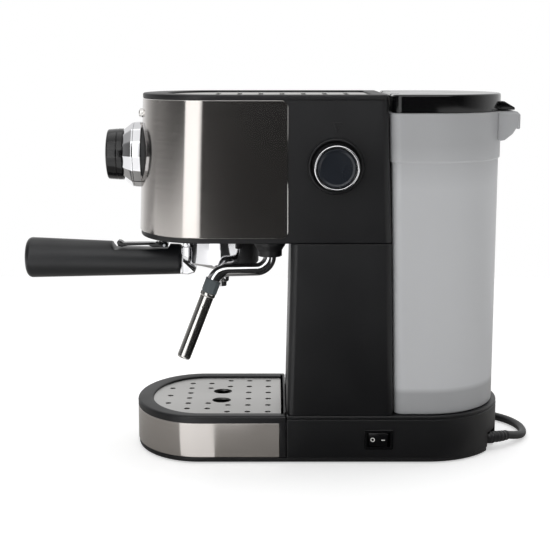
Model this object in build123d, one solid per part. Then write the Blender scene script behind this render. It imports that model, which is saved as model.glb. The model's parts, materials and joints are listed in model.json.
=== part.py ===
from build123d import *
import os
from math import cos, pi, radians, sin, sqrt, tan

# A slim home espresso machine, in millimetres, +Z up, the front facing -Y.
# The model is laid out about the machine's mid-plane: X = 0 across the body, Z = 0 on the table.
# On export everything is shifted so that the origin is under the middle of the overall box.

# ---------------------------------------------------------------- driving dimensions
machine_height = 300.0
base_half_width = 71.0
base_front = -118.7
base_rear = 191.5
base_front_depth = 56.0
base_rear_depth = 66.5
base_top = 40.0
pan_bottom = 1.0
pan_top = 4.5
pan_inset = 0.6
shell_wall = 2.4
base_roof = 2.5
tray_rear = 9.0
bay_gap = 0.3
moving_gap = 0.3
slip = 0.06
snug = 0.1

column_half_width = 70.0
column_front_top = 12.8
column_front_low = 9.6
column_rear_top = 93.6
column_rear_low = 97.0
column_corner = 6.0
column_top = 182.0

head_half_width = 70.0
head_front_top = -109.2
head_front_low = -113.4
head_front_depth = 54.5
head_rear_top = 89.1
head_corner = 6.0
head_floor = 2.6
cover_bottom = 296.0
wrap_thickness = 1.0
wrap_bottom = 186.4
wrap_rear = 10.5
wrap_corner = 5.5
cover_spigot = 4.0

plate_half_width = 60.0
plate_front = -90.0
plate_front_depth = 48.0
plate_rear = 78.0
plate_recess = 2.8
plate_thickness = 1.2

dial_height = 248.4
dial_face = -117.5
dial_bezel_radius = 28.5
dial_skirt_radius = 27.3
dial_skirt_neck_radius = 21.2
dial_skirt_length = 8.8
dial_cap_radius = 21.5
dial_cap_length = 15.5
dial_shaft_radius = 3.0
bezel_back = -100.9
bezel_flange_radius = 30.4
rotary_switch_size = (32.0, 16.0, 30.0)

button_height = 283.4
button_pitch = 15.0
button_radius = 3.4
button_stem_radius = 2.0
button_proud = 3.0
button_travel = 1.5
board_front = -97.0
board_thickness = 1.6
tact_switch_depth = 3.5

knob_y = 48.0
knob_height = 244.2
knob_collar_radius = 22.5
knob_collar_thickness = 3.0
knob_radius = 17.7
knob_length = 15.0
knob_ring_thickness = 3.2
knob_cap_radius = 14.75
knob_cap_proud = 0.8
spindle_radius = 3.0
valve_radius = 11.0
valve_inner_end = 30.0

bowl_y = -44.0
bowl_radius = 30.35
bowl_bore = 27.2
bowl_top = 188.0
bowl_bottom = 157.0
bowl_cone_bottom = 150.0
bowl_floor = 3.5
ear_reach = 34.0
ear_low = 184.6
ear_high = 187.6
ear_angles = (30.0, 150.0, 270.0)
ear_width = 18.0
basket_radius = 26.6
basket_wall = 0.6
basket_rim_radius = 29.6
basket_rim = 1.0
basket_depth = 22.0
basket_hole_radius = 0.9
group_radius = 36.0
group_flange_radius = 41.0
group_top = 205.0
group_bottom = 181.4
group_mouth_gap = 0.65
gasket_height = 4.0
screen_radius = 25.5
screen_thickness = 1.0
spout_y = -45.6
spout_tip = 137.0
spout_half_span = 13.0
spout_half_depth = 6.7

handle_near = -79.7
handle_far = -212.0
handle_near_radius = 12.85
handle_far_radius = 17.25
handle_near_z = 158.85
handle_far_z = 160.4
handle_notch_start = -139.5
handle_notch_end = -90.0
handle_notch_z = 168.6
neck_height = 11.0
neck_width = 22.0
clip_pin_radius = 1.2
clip_pin_y = -94.0
clip_pin_z = 171.6
clip_width = 10.0

gland_x = 47.0
gland_y = -4.2
gland_flange_radius = 12.75
gland_radius = 9.9
gland_bottom = 169.0
gland_flange_bottom = 178.0
wand_radius = 5.2
wand_heading = 8.0
wand_level = 158.0
wand_reach = 43.4
wand_tilt = 21.5
wand_tip_z = 86.0
sleeve_radius = 5.6
sleeve_bore = 3.6
sleeve_length = 55.0
nozzle_radius = 3.2
grip_length = 11.0
sleeve_collar = 3.0
sleeve_collar_radius = 6.3

switch_y = 85.0
switch_z = 20.4
switch_length = 23.6
switch_height = 17.0
switch_flange = 1.2
switch_rim = 1.3
switch_depth = 14.0
rocker_swing = 16.0
rocker_pivot_depth = 4.5

tank_half_width = 67.0
tank_front_top = 92.0
tank_front_low = 97.7
tank_rear = 187.2
tank_rear_depth = 62.0
tank_corner = 8.0
tank_bottom = 40.5
tank_rim = 285.5
tank_step = 247.0
tank_step_out = 1.3
tank_wall = 2.2
tank_floor_z = 58.6
tank_floor = 2.4
tank_port_y = 140.0
tank_handle_half = 30.0
tank_handle_rear = 200.5
tank_handle_low = 270.0
lid_front = 92.6
lid_rear = 188.0
lid_wall = 2.4
lid_tab_rear = 197.0
hinge_y = 96.4
hinge_z = 296.2
hinge_pin_radius = 1.5
hinge_ear_x = 40.0
hinge_ear_width = 6.0

tray_floor_bottom = 5.0
tray_band_top = 34.0
tray_band_end = 3.7
tray_ledge_width = 3.0
tray_wall = 2.4
tray_seat_inset = 11.0
tray_seat_rear = 5.7
band_thickness = 1.0
grid_gap = 0.4
grid_top = 38.0
grid_thickness = 2.0
grid_hole_radius = 2.5
grid_big_hole_radius = 8.0

foot_radius = 8.0
foot_places = ((-48.0, -70.0), (48.0, -70.0), (-48.0, 150.0), (48.0, 150.0))
foot_height = 3.0
screw_places = ((-58.0, 24.0), (58.0, 24.0), (-56.0, 128.0), (56.0, 128.0))
screw_radius = 1.5
screw_head_radius = 3.0

cord_radius = 3.5
cord_recess_left = 20.0
cord_recess_right = 41.0
cord_recess_top = 17.0
gland_root = (33.7, 176.0)
gland_level = 10.6
gland_heading = 90.0
gland_turn = 41.0
gland_bend = 33.0
gland_root_radius = 5.6
gland_end_radius = 4.4
coil_mean_radius = 40.0
coil_radius = 48.0
coil_bore = 32.0
coil_height = 13.8
coil_centre = (-129.0, 116.0)
coil_exit_angle = -60.0
plug_lead_length = 30.0
plug_relief = 20.0
plug_length = 36.0
plug_width = 32.0
plug_thickness = 15.0
pin_length = 19.0
pin_radius = 2.0
pin_pitch = 18.6

# The lead's route on the table, from the strain relief round behind the base to the coil.
cord_route = [
    (25.6, 197.6, 10.6),
    (11.0, 213.6, 4.6),
    (-13.0, 220.4, 3.6),
    (-38.5, 215.0, 3.6),
    (-59.0, 198.0, 3.6),
    (-73.0, 173.5, 3.6),
    (-81.5, 143.0, 3.6),
    (-86.6, 109.6, 3.6),
]

overall_left = -base_half_width
overall_right = head_half_width + knob_collar_thickness + knob_length + knob_ring_thickness + knob_cap_proud
overall_front = handle_far
overall_rear = tank_handle_rear
origin_shift = Pos(-(overall_left + overall_right) / 2, -(overall_front + overall_rear) / 2, 0)

parts = {}


# ---------------------------------------------------------------- helpers
def plan(half, front, rear, front_depth=0.0, rear_depth=0.0, corner=6.0):
    """Plan outline with straight sides: an end is a half-ellipse of its depth, or flat with round corners."""
    edges = []
    sides = []
    for tip, depth, inward, start in ((front, front_depth, 1, 180), (rear, rear_depth, -1, 0)):
        if depth:
            sides.append(tip + inward * depth)
            edges.append(EllipticalCenterArc((0, sides[-1]), half, depth, start, arc_size=180))
            continue
        sides.append(tip + inward * corner)
        edges.append(Line((corner - half, tip), (half - corner, tip)))
        for side in (-1, 1):
            first = {(-1, 1): 180, (1, 1): 270, (1, -1): 0, (-1, -1): 90}[(side, inward)]
            edges.append(CenterArc((side * (half - corner), sides[-1]), corner, first, 90))
    edges += [Line((side * half, sides[0]), (side * half, sides[1])) for side in (-1, 1)]
    return make_face(Curve() + edges)


def prism(face, low, high):
    """A flat outline carried straight up from one height to another."""
    return extrude(Pos(0, 0, low) * face, high - low, dir=(0, 0, 1))


def block(x0, x1, y0, y1, z0, z1):
    """A box between two corners."""
    size = Box(x1 - x0, y1 - y0, z1 - z0)
    return Pos((x0 + x1) / 2, (y0 + y1) / 2, (z0 + z1) / 2) * size


def post(x, y, low, high, radius):
    """An upright cylinder."""
    return Pos(x, y, (low + high) / 2) * Cylinder(radius, high - low)


def rod_y(x, z, y0, y1, radius):
    """A cylinder that runs front to back."""
    return Pos(x, (y0 + y1) / 2, z) * Rot(90, 0, 0) * Cylinder(radius, y1 - y0)


def rod_x(y, z, x0, x1, radius):
    """A cylinder that runs from side to side."""
    return Pos((x0 + x1) / 2, y, z) * Rot(0, 90, 0) * Cylinder(radius, x1 - x0)


def side_profile(points, x0, x1):
    """A closed outline of (y, z) points carried from x0 to x1."""
    face = make_face(Polyline(*[(0, y, z) for y, z in points], close=True))
    return Pos(x0, 0, 0) * extrude(face, x1 - x0, dir=(1, 0, 0))


def turned(points, x, y):
    """A closed outline of (radius, height) points turned about the upright axis through x, y."""
    face = make_face(Polyline(*[(r, 0, z) for r, z in points], close=True))
    return Pos(x, y, 0) * revolve(face, Axis.Z)


def corner_radii(points):
    """The largest arc that the two runs at each corner allow."""
    radii = []
    for before, corner, after in zip(points, points[1:], points[2:]):
        run_in = Vector(corner) - Vector(before)
        run_out = Vector(after) - Vector(corner)
        turn = radians(run_in.get_angle(run_out))
        radii.append(0.45 * min(run_in.length, run_out.length) / tan(turn / 2))
    return radii


def tube(points, radius, radii):
    """A round rod along straight runs joined by tangent arcs."""
    path = FilletPolyline(*points, radius=radii)
    start = Plane(origin=points[0], z_dir=Vector(points[1]) - Vector(points[0]))
    return sweep(start * Circle(radius), path=path.wire())


def front_of(z):
    """How far forward the head's moulding reaches at a height, on the mid-plane."""
    share = (z - column_top) / (cover_bottom - column_top)
    return head_front_low + (head_front_top - head_front_low) * share


def head_rear_of(z):
    """The head's rear wall at a height."""
    share = (z - column_top) / (cover_bottom - column_top)
    return column_rear_top + (head_rear_top - column_rear_top) * share


def head_form(low, high, inset):
    """The head's outer form between two heights, drawn in by an inset, or out by a negative one."""
    faces = [
        Pos(0, 0, z)
        * plan(
            head_half_width - inset,
            front_of(z) + inset,
            head_rear_of(z) - inset,
            front_depth=head_front_depth - inset,
            corner=max(head_corner - inset, 1.0),
        )
        for z in (low, high)
    ]
    return loft(faces, ruled=True)


# ---------------------------------------------------------------- base
def base_outline(inset):
    """The whole base in plan, tray bay included."""
    return plan(
        base_half_width - inset,
        base_front + inset,
        base_rear - inset,
        front_depth=base_front_depth - inset,
        rear_depth=base_rear_depth - inset,
    )


def rear_outline(inset, front_inset):
    """The base behind the tray bay in plan."""
    return plan(
        base_half_width - inset,
        tray_rear + bay_gap + front_inset,
        base_rear - inset,
        rear_depth=base_rear_depth - inset,
        corner=1.0,
    )


cord_recess = block(cord_recess_left, cord_recess_right, gland_root[1], base_rear + 1, 0, cord_recess_top)
cord_recess_walls = block(
    cord_recess_left - shell_wall, cord_recess_right + shell_wall,
    gland_root[1] - shell_wall, base_rear, pan_top, cord_recess_top + shell_wall,
)
gland_frame = Plane(
    origin=(*gland_root, gland_level),
    z_dir=(cos(radians(gland_heading)), sin(radians(gland_heading)), 0),
)

pan = prism(base_outline(pan_inset), pan_bottom, pan_top)
for x, y in foot_places:
    pan -= post(x, y, pan_bottom, foot_height, foot_radius + snug)
for x, y in screw_places:
    pan -= post(x, y, pan_bottom, pan_bottom + 1.8, screw_head_radius + snug)
    pan -= post(x, y, pan_bottom, pan_top, screw_radius + snug)
pan -= cord_recess
parts["base_pan"] = pan

parts["feet"] = Compound([post(x, y, 0, foot_height, foot_radius) for x, y in foot_places])
parts["pan_screws"] = Compound([
    post(x, y, pan_bottom + 0.2, pan_bottom + 1.8, screw_head_radius).solid()
    + post(x, y, pan_bottom + 1.8, 15.0, screw_radius).solid()
    for x, y in screw_places
])

shell = prism(rear_outline(0, 0), pan_top, base_top)
shell = chamfer(shell.faces().sort_by(Axis.Z)[-1].edges(), 1.0)
outer_shell = shell
shell -= prism(rear_outline(shell_wall, shell_wall), pan_top, base_top - base_roof)
shell += cord_recess_walls & outer_shell
shell -= cord_recess
for x, y in screw_places:
    shell += post(x, y, pan_top, base_top - base_roof, 4.2)
    shell -= post(x, y, pan_top, 18.0, screw_radius + snug)
hose_way = block(-30, 30, 34, 78, base_top - base_roof, base_top)
shell -= hose_way
shell -= post(0, tank_port_y, base_top - base_roof, base_top, 5.0 + snug)
switch_pocket = block(
    base_half_width - switch_depth, base_half_width + 1,
    switch_y - switch_length / 2 + switch_rim, switch_y + switch_length / 2 - switch_rim,
    switch_z - switch_height / 2 + switch_rim, switch_z + switch_height / 2 - switch_rim,
)
shell -= switch_pocket
shell -= gland_frame * Pos(0, 0, -shell_wall / 2) * Cylinder(4.0 + snug, shell_wall * 3)
parts["base_shell"] = shell

socket = turned([(4.2, 30), (5.0, 30), (5.0, base_top), (9.0, base_top), (9.0, 50), (6.4, 50),
                 (6.4, base_top + 2), (2.6, base_top + 2), (2.6, 30)], 0, tank_port_y)
socket += block(-3.0, 3.0, tank_port_y - 0.8, tank_port_y + 0.8, base_top - 1, base_top + 2)
socket += post(0, tank_port_y, base_top + 1, 49.6, 1.2)
parts["tank_socket"] = socket

# ---------------------------------------------------------------- column and head
def column_form(inset):
    """The column's outer form drawn in by an inset: its front and rear walls lean."""
    corner = max(column_corner - inset, 1.0)
    low = plan(column_half_width - inset, column_front_low + inset, column_rear_low - inset, corner=corner)
    high = plan(column_half_width - inset, column_front_top + inset, column_rear_top - inset, corner=corner)
    return loft([Pos(0, 0, base_top) * low, Pos(0, 0, column_top) * high], ruled=True)


pump_half = 22.0
pump_mount_reach = 10.0
pump_y = 54.0
mount_low = 95.0
mount_high = 115.0
column = column_form(0) - column_form(shell_wall)
for side in (-1, 1):
    inner, outer = pump_half + pump_mount_reach, column_half_width - shell_wall / 2
    column += block(min(side * inner, side * outer), max(side * inner, side * outer),
                    pump_y - 2, pump_y + 2, mount_low, mount_high)
parts["column_housing"] = column

head = head_form(column_top, cover_bottom, 0) - head_form(column_top + head_floor, cover_bottom, shell_wall)
board_posts = [(x, z) for x in (-26.0, 26.0) for z in (269.0, 289.0)]
board_back = board_front + board_thickness
for x, z in board_posts:
    head += rod_y(x, z, head_front_low, board_front, 2.4) & head_form(column_top, cover_bottom, 0)
head -= post(0, bowl_y, column_top, column_top + head_floor, group_radius + snug)
head -= block(-58, 58, column_front_top + 8, column_rear_top - 8, column_top, column_top + head_floor)
head -= post(gland_x, gland_y, column_top, column_top + head_floor, 7.0 + snug)
head -= rod_y(0, dial_height, head_front_low - 2, bezel_back, dial_bezel_radius + snug)
button_places = [("button_left", -button_pitch), ("button_middle", 0.0), ("button_right", button_pitch)]
for name, x in button_places:
    head -= rod_y(x, button_height, head_front_low - 2, -100, button_radius + moving_gap)
head -= rod_x(knob_y, knob_height, head_half_width - 5, head_half_width + 1, 8.0 + snug)
parts["head_housing"] = head

wrap = head_form(wrap_bottom, cover_bottom, -wrap_thickness) - head_form(wrap_bottom, cover_bottom, 0)
window = make_face(Polyline(
    (0, head_front_low - 5, wrap_bottom), (0, wrap_rear, wrap_bottom),
    (0, wrap_rear, cover_bottom), (0, head_front_low - 5, cover_bottom), close=True))
window = fillet(window.vertices().group_by(Axis.Y)[-1], wrap_corner)
wrap &= Pos(-80, 0, 0) * extrude(window, 160, dir=(1, 0, 0))
wrap -= rod_y(0, dial_height, head_front_low - 4, -90, dial_bezel_radius + snug)
for name, x in button_places:
    wrap -= rod_y(x, button_height, head_front_low - 4, -90, button_radius + moving_gap)
parts["steel_wrap"] = wrap

cover = prism(plan(head_half_width + 0.8, head_front_top - 0.8, head_rear_top, head_front_depth + 0.8,
                   corner=head_corner), cover_bottom, machine_height)
cover = chamfer(cover.faces().sort_by(Axis.Z)[-1].edges(), 1.2)
spigot_inset = shell_wall + snug
cover += prism(plan(head_half_width - spigot_inset, head_front_top + spigot_inset, head_rear_top - spigot_inset,
                    head_front_depth - spigot_inset, corner=head_corner - shell_wall),
               cover_bottom - cover_spigot, cover_bottom)
hollow_inset = 8.0
cover -= prism(plan(head_half_width - hollow_inset, head_front_top + hollow_inset, head_rear_top - hollow_inset,
                    head_front_depth - hollow_inset, corner=head_corner),
               cover_bottom - cover_spigot, cover_bottom - 1)
cover -= prism(plan(plate_half_width, plate_front, plate_rear, plate_front_depth, corner=8.0),
               machine_height - plate_recess, machine_height)
parts["top_cover"] = cover

plate_gap = 0.4
plate_low = machine_height - plate_recess
plate = prism(plan(plate_half_width - plate_gap, plate_front + plate_gap, plate_rear - plate_gap,
                   plate_front_depth - plate_gap, corner=8.0 - plate_gap), plate_low, plate_low + plate_thickness)
vent_length, vent_width, vent_pitch, first_vent = 70.0, 4.0, 18.0, -48.0
for row in range(7):
    vent = extrude(SlotOverall(vent_length, vent_width), plate_thickness)
    plate -= Pos(0, first_vent + vent_pitch * row, plate_low) * vent
parts["cup_plate"] = plate

# ---------------------------------------------------------------- front dial and its switch
bezel = rod_y(0, dial_height, dial_face, bezel_back - 2.2, dial_bezel_radius)
bezel += rod_y(0, dial_height, bezel_back - 2.0, bezel_back, bezel_flange_radius)
bezel += rod_y(0, dial_height, bezel_back - 3.0, bezel_back, dial_bezel_radius)
bezel -= rod_y(0, dial_height, dial_face + 3, bezel_back, dial_bezel_radius - 3) \
    - rod_y(0, dial_height, dial_face, bezel_back, 8.0)
bezel -= rod_y(0, dial_height, dial_face, bezel_back, dial_shaft_radius + slip)
parts["dial_bezel"] = bezel

skirt_back = dial_face - moving_gap
skirt_front = skirt_back - dial_skirt_length
skirt = Pos(0, skirt_back, dial_height) * Rot(90, 0, 0) * extrude(
    Circle(dial_skirt_radius), 1.4)
skirt += Pos(0, skirt_back - 1.4, dial_height) * Rot(90, 0, 0) * loft([
    Circle(dial_skirt_radius), Pos(0, 0, dial_skirt_length - 1.4) * Circle(dial_skirt_neck_radius)])
skirt -= rod_y(0, dial_height, skirt_front, skirt_back, dial_shaft_radius)
parts["dial_skirt"] = skirt

cap_front = skirt_front - dial_cap_length
cap = rod_y(0, dial_height, cap_front, skirt_front, dial_cap_radius)
cap = fillet(cap.faces().sort_by(Axis.Y)[0].edges(), 5.0)
pointer_top = dial_height + dial_cap_radius + 0.6
cap += block(-1.0, 1.0, cap_front + 1.5, cap_front + 8.0, dial_height + 9, pointer_top)
cap -= rod_y(0, dial_height, skirt_front - 7, skirt_front, dial_shaft_radius)
parts["dial_cap"] = cap

switch_w, switch_d, switch_h = rotary_switch_size
parts["dial_shaft"] = rod_y(0, dial_height, skirt_front - 7, bezel_back + switch_d - 2, dial_shaft_radius)
rotary = block(-switch_w / 2, switch_w / 2, bezel_back, bezel_back + switch_d,
               dial_height - switch_h / 2, dial_height + switch_h / 2)
rotary -= rod_y(0, dial_height, bezel_back, bezel_back + switch_d - 1, dial_shaft_radius + slip)
parts["rotary_switch"] = rotary

# ---------------------------------------------------------------- buttons and their board
for name, x in button_places:
    set_back = head_front_depth * (1 - sqrt(1 - (x / head_half_width) ** 2))
    face_y = front_of(button_height) + set_back - wrap_thickness
    button = rod_y(x, button_height, face_y - button_proud, face_y + 4, button_radius)
    button = fillet(button.faces().sort_by(Axis.Y)[0].edges(), 0.8)
    stem_end = board_front - tact_switch_depth - button_travel - 0.4
    button += rod_y(x, button_height, face_y + 4, stem_end, button_stem_radius)
    parts[name] = button
board = block(-30, 30, board_front, board_back, 266, 292)
for name, x in button_places:
    board += block(x - 3, x + 3, board_front - tact_switch_depth, board_front, button_height - 3, button_height + 3)
parts["control_board"] = board

# ---------------------------------------------------------------- water heating and pumping
heater_low = group_top + 2.0
heater_high = heater_low + 29.0
heater = block(-40, 40, -78, -8, heater_low, heater_high)
heater = fillet(heater.edges().filter_by(Axis.Z), 6.0)
for x in (-24.0, 0.0, 24.0):
    heater += rod_y(x, heater_high, -70, -16, 5.0)
parts["thermoblock"] = heater
bracket = block(-52, 52, -70, -18, group_top, heater_low)
for low_x, high_x in ((-52, -50), (50, 52)):
    bracket += block(low_x, high_x, -70, -18, column_top + head_floor, group_top)
parts["thermoblock_bracket"] = bracket

pump = block(-pump_half, pump_half, pump_y - 20, pump_y + 20, 80, 130)
pump = fillet(pump.edges().filter_by(Axis.Z), 4.0)
pump += post(0, pump_y, 130, 150, 8.0) + post(0, pump_y, 62, 80, 5.0)
parts["vibration_pump"] = pump
parts["pump_mounts"] = Compound([
    block(min(side * pump_half, side * (pump_half + pump_mount_reach)),
          max(side * pump_half, side * (pump_half + pump_mount_reach)),
          pump_y - 9, pump_y + 9, mount_low, mount_high).solid()
    for side in (-1, 1)
])

hose_radius = 4.0
inlet_route = [(0, tank_port_y, 30), (0, tank_port_y, 14), (0, pump_y, 14), (0, pump_y, 62)]
inlet = tube(inlet_route, hose_radius, [9, 12])
pressure = tube([(0, pump_y, 150), (0, pump_y, 222), (0, -8, 222)], hose_radius, [24])
parts["water_hoses"] = Compound([inlet.solid(), pressure.solid()])

valve_inner = head_half_width - shell_wall
valve = rod_x(knob_y, knob_height, valve_inner_end, valve_inner, valve_radius)
valve_outer = head_half_width + knob_collar_thickness - 0.4
valve += rod_x(knob_y, knob_height, valve_inner, valve_outer, 8.0)
valve -= rod_x(knob_y, knob_height, valve_inner_end + 8, valve_outer, spindle_radius + slip)
feed_x, outlet_x = 36.0, 56.0
nipple_low = knob_height - valve_radius - 6
for x in (feed_x, outlet_x):
    valve += post(x, knob_y, nipple_low, knob_height - valve_radius + 3, 3.0)
parts["steam_valve"] = valve
feed_level = nipple_low - 9.4
feed = tube([(feed_x, -8, feed_level), (feed_x, knob_y, feed_level), (feed_x, knob_y, nipple_low)], hose_radius, [7.0])
gland_top = 197.0
outlet = tube([(outlet_x, knob_y, nipple_low), (outlet_x, knob_y, 208), (gland_x, gland_y, 208),
               (gland_x, gland_y, gland_top)], hose_radius, [9.0, 8.0])
parts["steam_hoses"] = Compound([feed.solid(), outlet.solid()])

# ---------------------------------------------------------------- steam knob
collar_face = head_half_width + knob_collar_thickness
collar = rod_x(knob_y, knob_height, head_half_width, collar_face, knob_collar_radius)
collar = chamfer(collar.faces().sort_by(Axis.X)[-1].edges(), 1.0)
collar -= rod_x(knob_y, knob_height, head_half_width, collar_face, 8.0 + snug)
parts["knob_collar"] = collar

knob_inner = collar_face + moving_gap
knob_outer = knob_inner + knob_length - moving_gap
knob = rod_x(knob_y, knob_height, knob_inner, knob_outer, knob_radius)
for step in range(24):
    angle = radians(15 * step)
    knob -= rod_x(knob_y + (knob_radius + 0.9) * cos(angle), knob_height + (knob_radius + 0.9) * sin(angle),
                  knob_inner + 2, knob_outer, 1.4)
knob += rod_x(knob_y, knob_height, valve_inner_end + 10, knob_inner, spindle_radius)
parts["steam_knob"] = knob
ring_outer = knob_outer + knob_ring_thickness
ring = rod_x(knob_y, knob_height, knob_outer, ring_outer, knob_radius)
ring = chamfer(ring.faces().sort_by(Axis.X)[-1].edges(), 0.8)
ring -= rod_x(knob_y, knob_height, knob_outer, ring_outer, knob_cap_radius)
parts["knob_ring"] = ring
knob_cap = rod_x(knob_y, knob_height, knob_outer, ring_outer + knob_cap_proud, knob_cap_radius - 0.05)
knob_cap = fillet(knob_cap.faces().sort_by(Axis.X)[-1].edges(), 0.7)
parts["knob_cap"] = knob_cap

# ---------------------------------------------------------------- brew group
mouth = bowl_radius + group_mouth_gap
groove = ear_reach + 0.5
rim_z = bowl_top + basket_rim
gasket_low = rim_z + moving_gap
ceiling = gasket_low + gasket_height
screen_low = rim_z + 0.7
group = turned([
    (0, group_top), (group_radius, group_top), (group_radius, column_top + head_floor + 4),
    (group_flange_radius, column_top + head_floor + 4), (group_flange_radius, column_top + head_floor),
    (group_radius, column_top + head_floor), (group_radius, group_bottom), (mouth, group_bottom),
    (mouth, ear_low - 0.5), (groove, ear_low - 0.5), (groove, ear_high + 0.6), (mouth, ear_high + 0.6),
    (mouth, ceiling), (screen_radius + 0.6, ceiling), (screen_radius + 0.6, screen_low + screen_thickness),
    (0, screen_low + screen_thickness)], 0, bowl_y)
for angle in ear_angles:
    slot = Pos(0, bowl_y, 0) * Rot(0, 0, angle - 45) * block(
        0, groove, -ear_width / 2 - 1, ear_width / 2 + 1, group_bottom, ear_low)
    group -= slot & post(0, bowl_y, group_bottom, ear_low, groove)
group -= post(0, bowl_y, screen_low + screen_thickness, group_top - 4, 1.5 + snug)
group -= post(12, bowl_y, screen_low + screen_thickness, group_top, 2.0)
parts["brew_group"] = group
parts["group_gasket"] = turned([(screen_radius + 0.7, gasket_low), (mouth - 0.1, gasket_low),
                                (mouth - 0.1, ceiling), (screen_radius + 0.7, ceiling)], 0, bowl_y)
screen = post(0, bowl_y, screen_low, screen_low + screen_thickness, screen_radius)
screen -= post(0, bowl_y, screen_low, screen_low + screen_thickness, 1.5 + snug)
for ring_radius, count in ((7.0, 8), (13.0, 14), (19.0, 20)):
    for step in range(count):
        angle = radians(360 * step / count)
        screen -= post(ring_radius * cos(angle), bowl_y + ring_radius * sin(angle),
                       screen_low, screen_low + screen_thickness, 0.8)
parts["shower_screen"] = screen
parts["shower_screw"] = (post(0, bowl_y, screen_low - 1.6, screen_low, 3.2)
                         + post(0, bowl_y, screen_low, group_top - 6, 1.5))

# ---------------------------------------------------------------- portafilter
cone_floor = bowl_cone_bottom + bowl_floor
bowl = turned([
    (0, bowl_cone_bottom), (9.0, bowl_cone_bottom), (bowl_radius, bowl_bottom), (bowl_radius, bowl_top),
    (bowl_bore, bowl_top), (bowl_bore, bowl_bottom + bowl_floor), (4.0, cone_floor), (0, cone_floor),
], 0, bowl_y)
ear_root = bowl_bore + 1
ear_zone = post(0, bowl_y, ear_low, ear_high, ear_reach) - post(0, bowl_y, ear_low, ear_high, ear_root)
for angle in ear_angles:
    ear = block(ear_root, ear_reach + 2, -ear_width / 2, ear_width / 2, ear_low, ear_high)
    bowl += (Pos(0, bowl_y, 0) * Rot(0, 0, angle) * ear) & ear_zone
neck_z = 152.3
neck = block(-neck_width / 2, neck_width / 2, handle_near, bowl_y - bowl_radius + 2,
             neck_z - neck_height / 2 + 1, neck_z + neck_height / 2 + 1)
neck = fillet(neck.edges().filter_by(Axis.Y), 3.0)
neck -= post(0, bowl_y, 140, 190, bowl_bore + 1)
bowl += neck
bowl += rod_y(0, handle_near_z, handle_near, handle_near + 3, 9.0)
bowl += rod_y(0, handle_near_z, handle_near - 30, handle_near, 4.0)
bowl += block(-8, 8, handle_near, bowl_y - bowl_radius + 1, neck_z, handle_near_z + 4) \
    - post(0, bowl_y, 140, 190, bowl_bore + 1)
bowl -= post(0, spout_y, bowl_cone_bottom, bowl_cone_bottom + bowl_floor, 2.5)
parts["portafilter_bowl"] = bowl

spout = post(0, spout_y, 146.5, bowl_cone_bottom, 6.4)
spout_body = block(-spout_half_span, spout_half_span,
                   spout_y - spout_half_depth, spout_y + spout_half_depth, 141, 147)
spout += fillet(spout_body.edges().filter_by(Axis.Z), 4.0)
for side in (-1, 1):
    spout += post(side * 8.0, spout_y, spout_tip, 142, 4.6)
    spout -= post(side * 8.0, spout_y, spout_tip, 144, 3.0)
parts["portafilter_spout"] = spout

stations = [(handle_near, handle_near_radius, handle_near_z), (-139.0, 14.9, 159.8),
            (handle_far + 5.0, handle_far_radius, handle_far_z)]
handle = Part()
for (y0, r0, z0), (y1, r1, z1) in zip(stations, stations[1:]):
    near_end = Plane(origin=(0, y0, z0), z_dir=(0, -1, 0)) * Circle(r0)
    far_end = Plane(origin=(0, y1, z1), z_dir=(0, -1, 0)) * Circle(r1)
    handle += loft([near_end, far_end], ruled=True)
end_plane = Plane(origin=(0, handle_far + 5.0, handle_far_z), z_dir=(0, -1, 0))
handle_end = end_plane * extrude(Circle(handle_far_radius), 5.0)
handle += fillet(handle_end.faces().sort_by(Axis.Y)[0].edges(), 4.5)
handle -= block(-20, 20, handle_notch_start, handle_notch_end, handle_notch_z, 190)
ear_x = clip_width / 2 + 0.3
for side in (-1, 1):
    low_x, high_x = sorted((side * ear_x, side * (ear_x + 2.6)))
    handle += block(low_x, high_x, clip_pin_y - 2.6, handle_notch_end, handle_notch_z - 2, clip_pin_z) \
        + rod_x(clip_pin_y, clip_pin_z, low_x, high_x, 2.6)
handle -= rod_x(clip_pin_y, clip_pin_z, -12, 12, clip_pin_radius + 0.02)
handle -= block(-ear_x, ear_x, clip_pin_y - 3.2, clip_pin_y + 3.4, handle_notch_z - 0.2, 190)
handle -= rod_y(0, handle_near_z, handle_near - 31, handle_near, 4.0 + slip)
parts["portafilter_handle"] = handle
parts["clip_pin"] = rod_x(clip_pin_y, clip_pin_z, -ear_x - 2.6, ear_x + 2.6, clip_pin_radius)

clip_half = clip_width / 2
clip = rod_x(clip_pin_y, clip_pin_z, -clip_half, clip_half, 2.4)
clip += block(-clip_half, clip_half, -133.5, clip_pin_y, clip_pin_z - 0.6, clip_pin_z + 2.4)
clip += block(-clip_half, clip_half, -134.0, -130.5, handle_notch_z + 0.5, clip_pin_z + 4.0)
for step in range(4):
    rib_y = -128.0 + 4 * step
    clip += block(-clip_half, clip_half, rib_y, rib_y + 1.4, clip_pin_z + 2.4, clip_pin_z + 3.1)
clip -= rod_x(clip_pin_y, clip_pin_z, -clip_half, clip_half, clip_pin_radius + 0.08)
parts["basket_clip"] = clip

inner = basket_radius - basket_wall
basket_low = bowl_top - basket_depth
basket = turned([
    (0, basket_low), (basket_radius, basket_low), (basket_radius, bowl_top), (basket_rim_radius, bowl_top),
    (basket_rim_radius, bowl_top + basket_rim), (inner, bowl_top + basket_rim),
    (inner, basket_low + basket_wall), (0, basket_low + basket_wall),
], 0, bowl_y)
for ring_radius, count in ((0.0, 1), (6.0, 6), (12.0, 12), (18.0, 18)):
    for step in range(count):
        angle = radians(360 * step / count)
        basket -= post(ring_radius * cos(angle), bowl_y + ring_radius * sin(angle),
                       basket_low, basket_low + basket_wall, basket_hole_radius)
parts["filter_basket"] = basket

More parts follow.
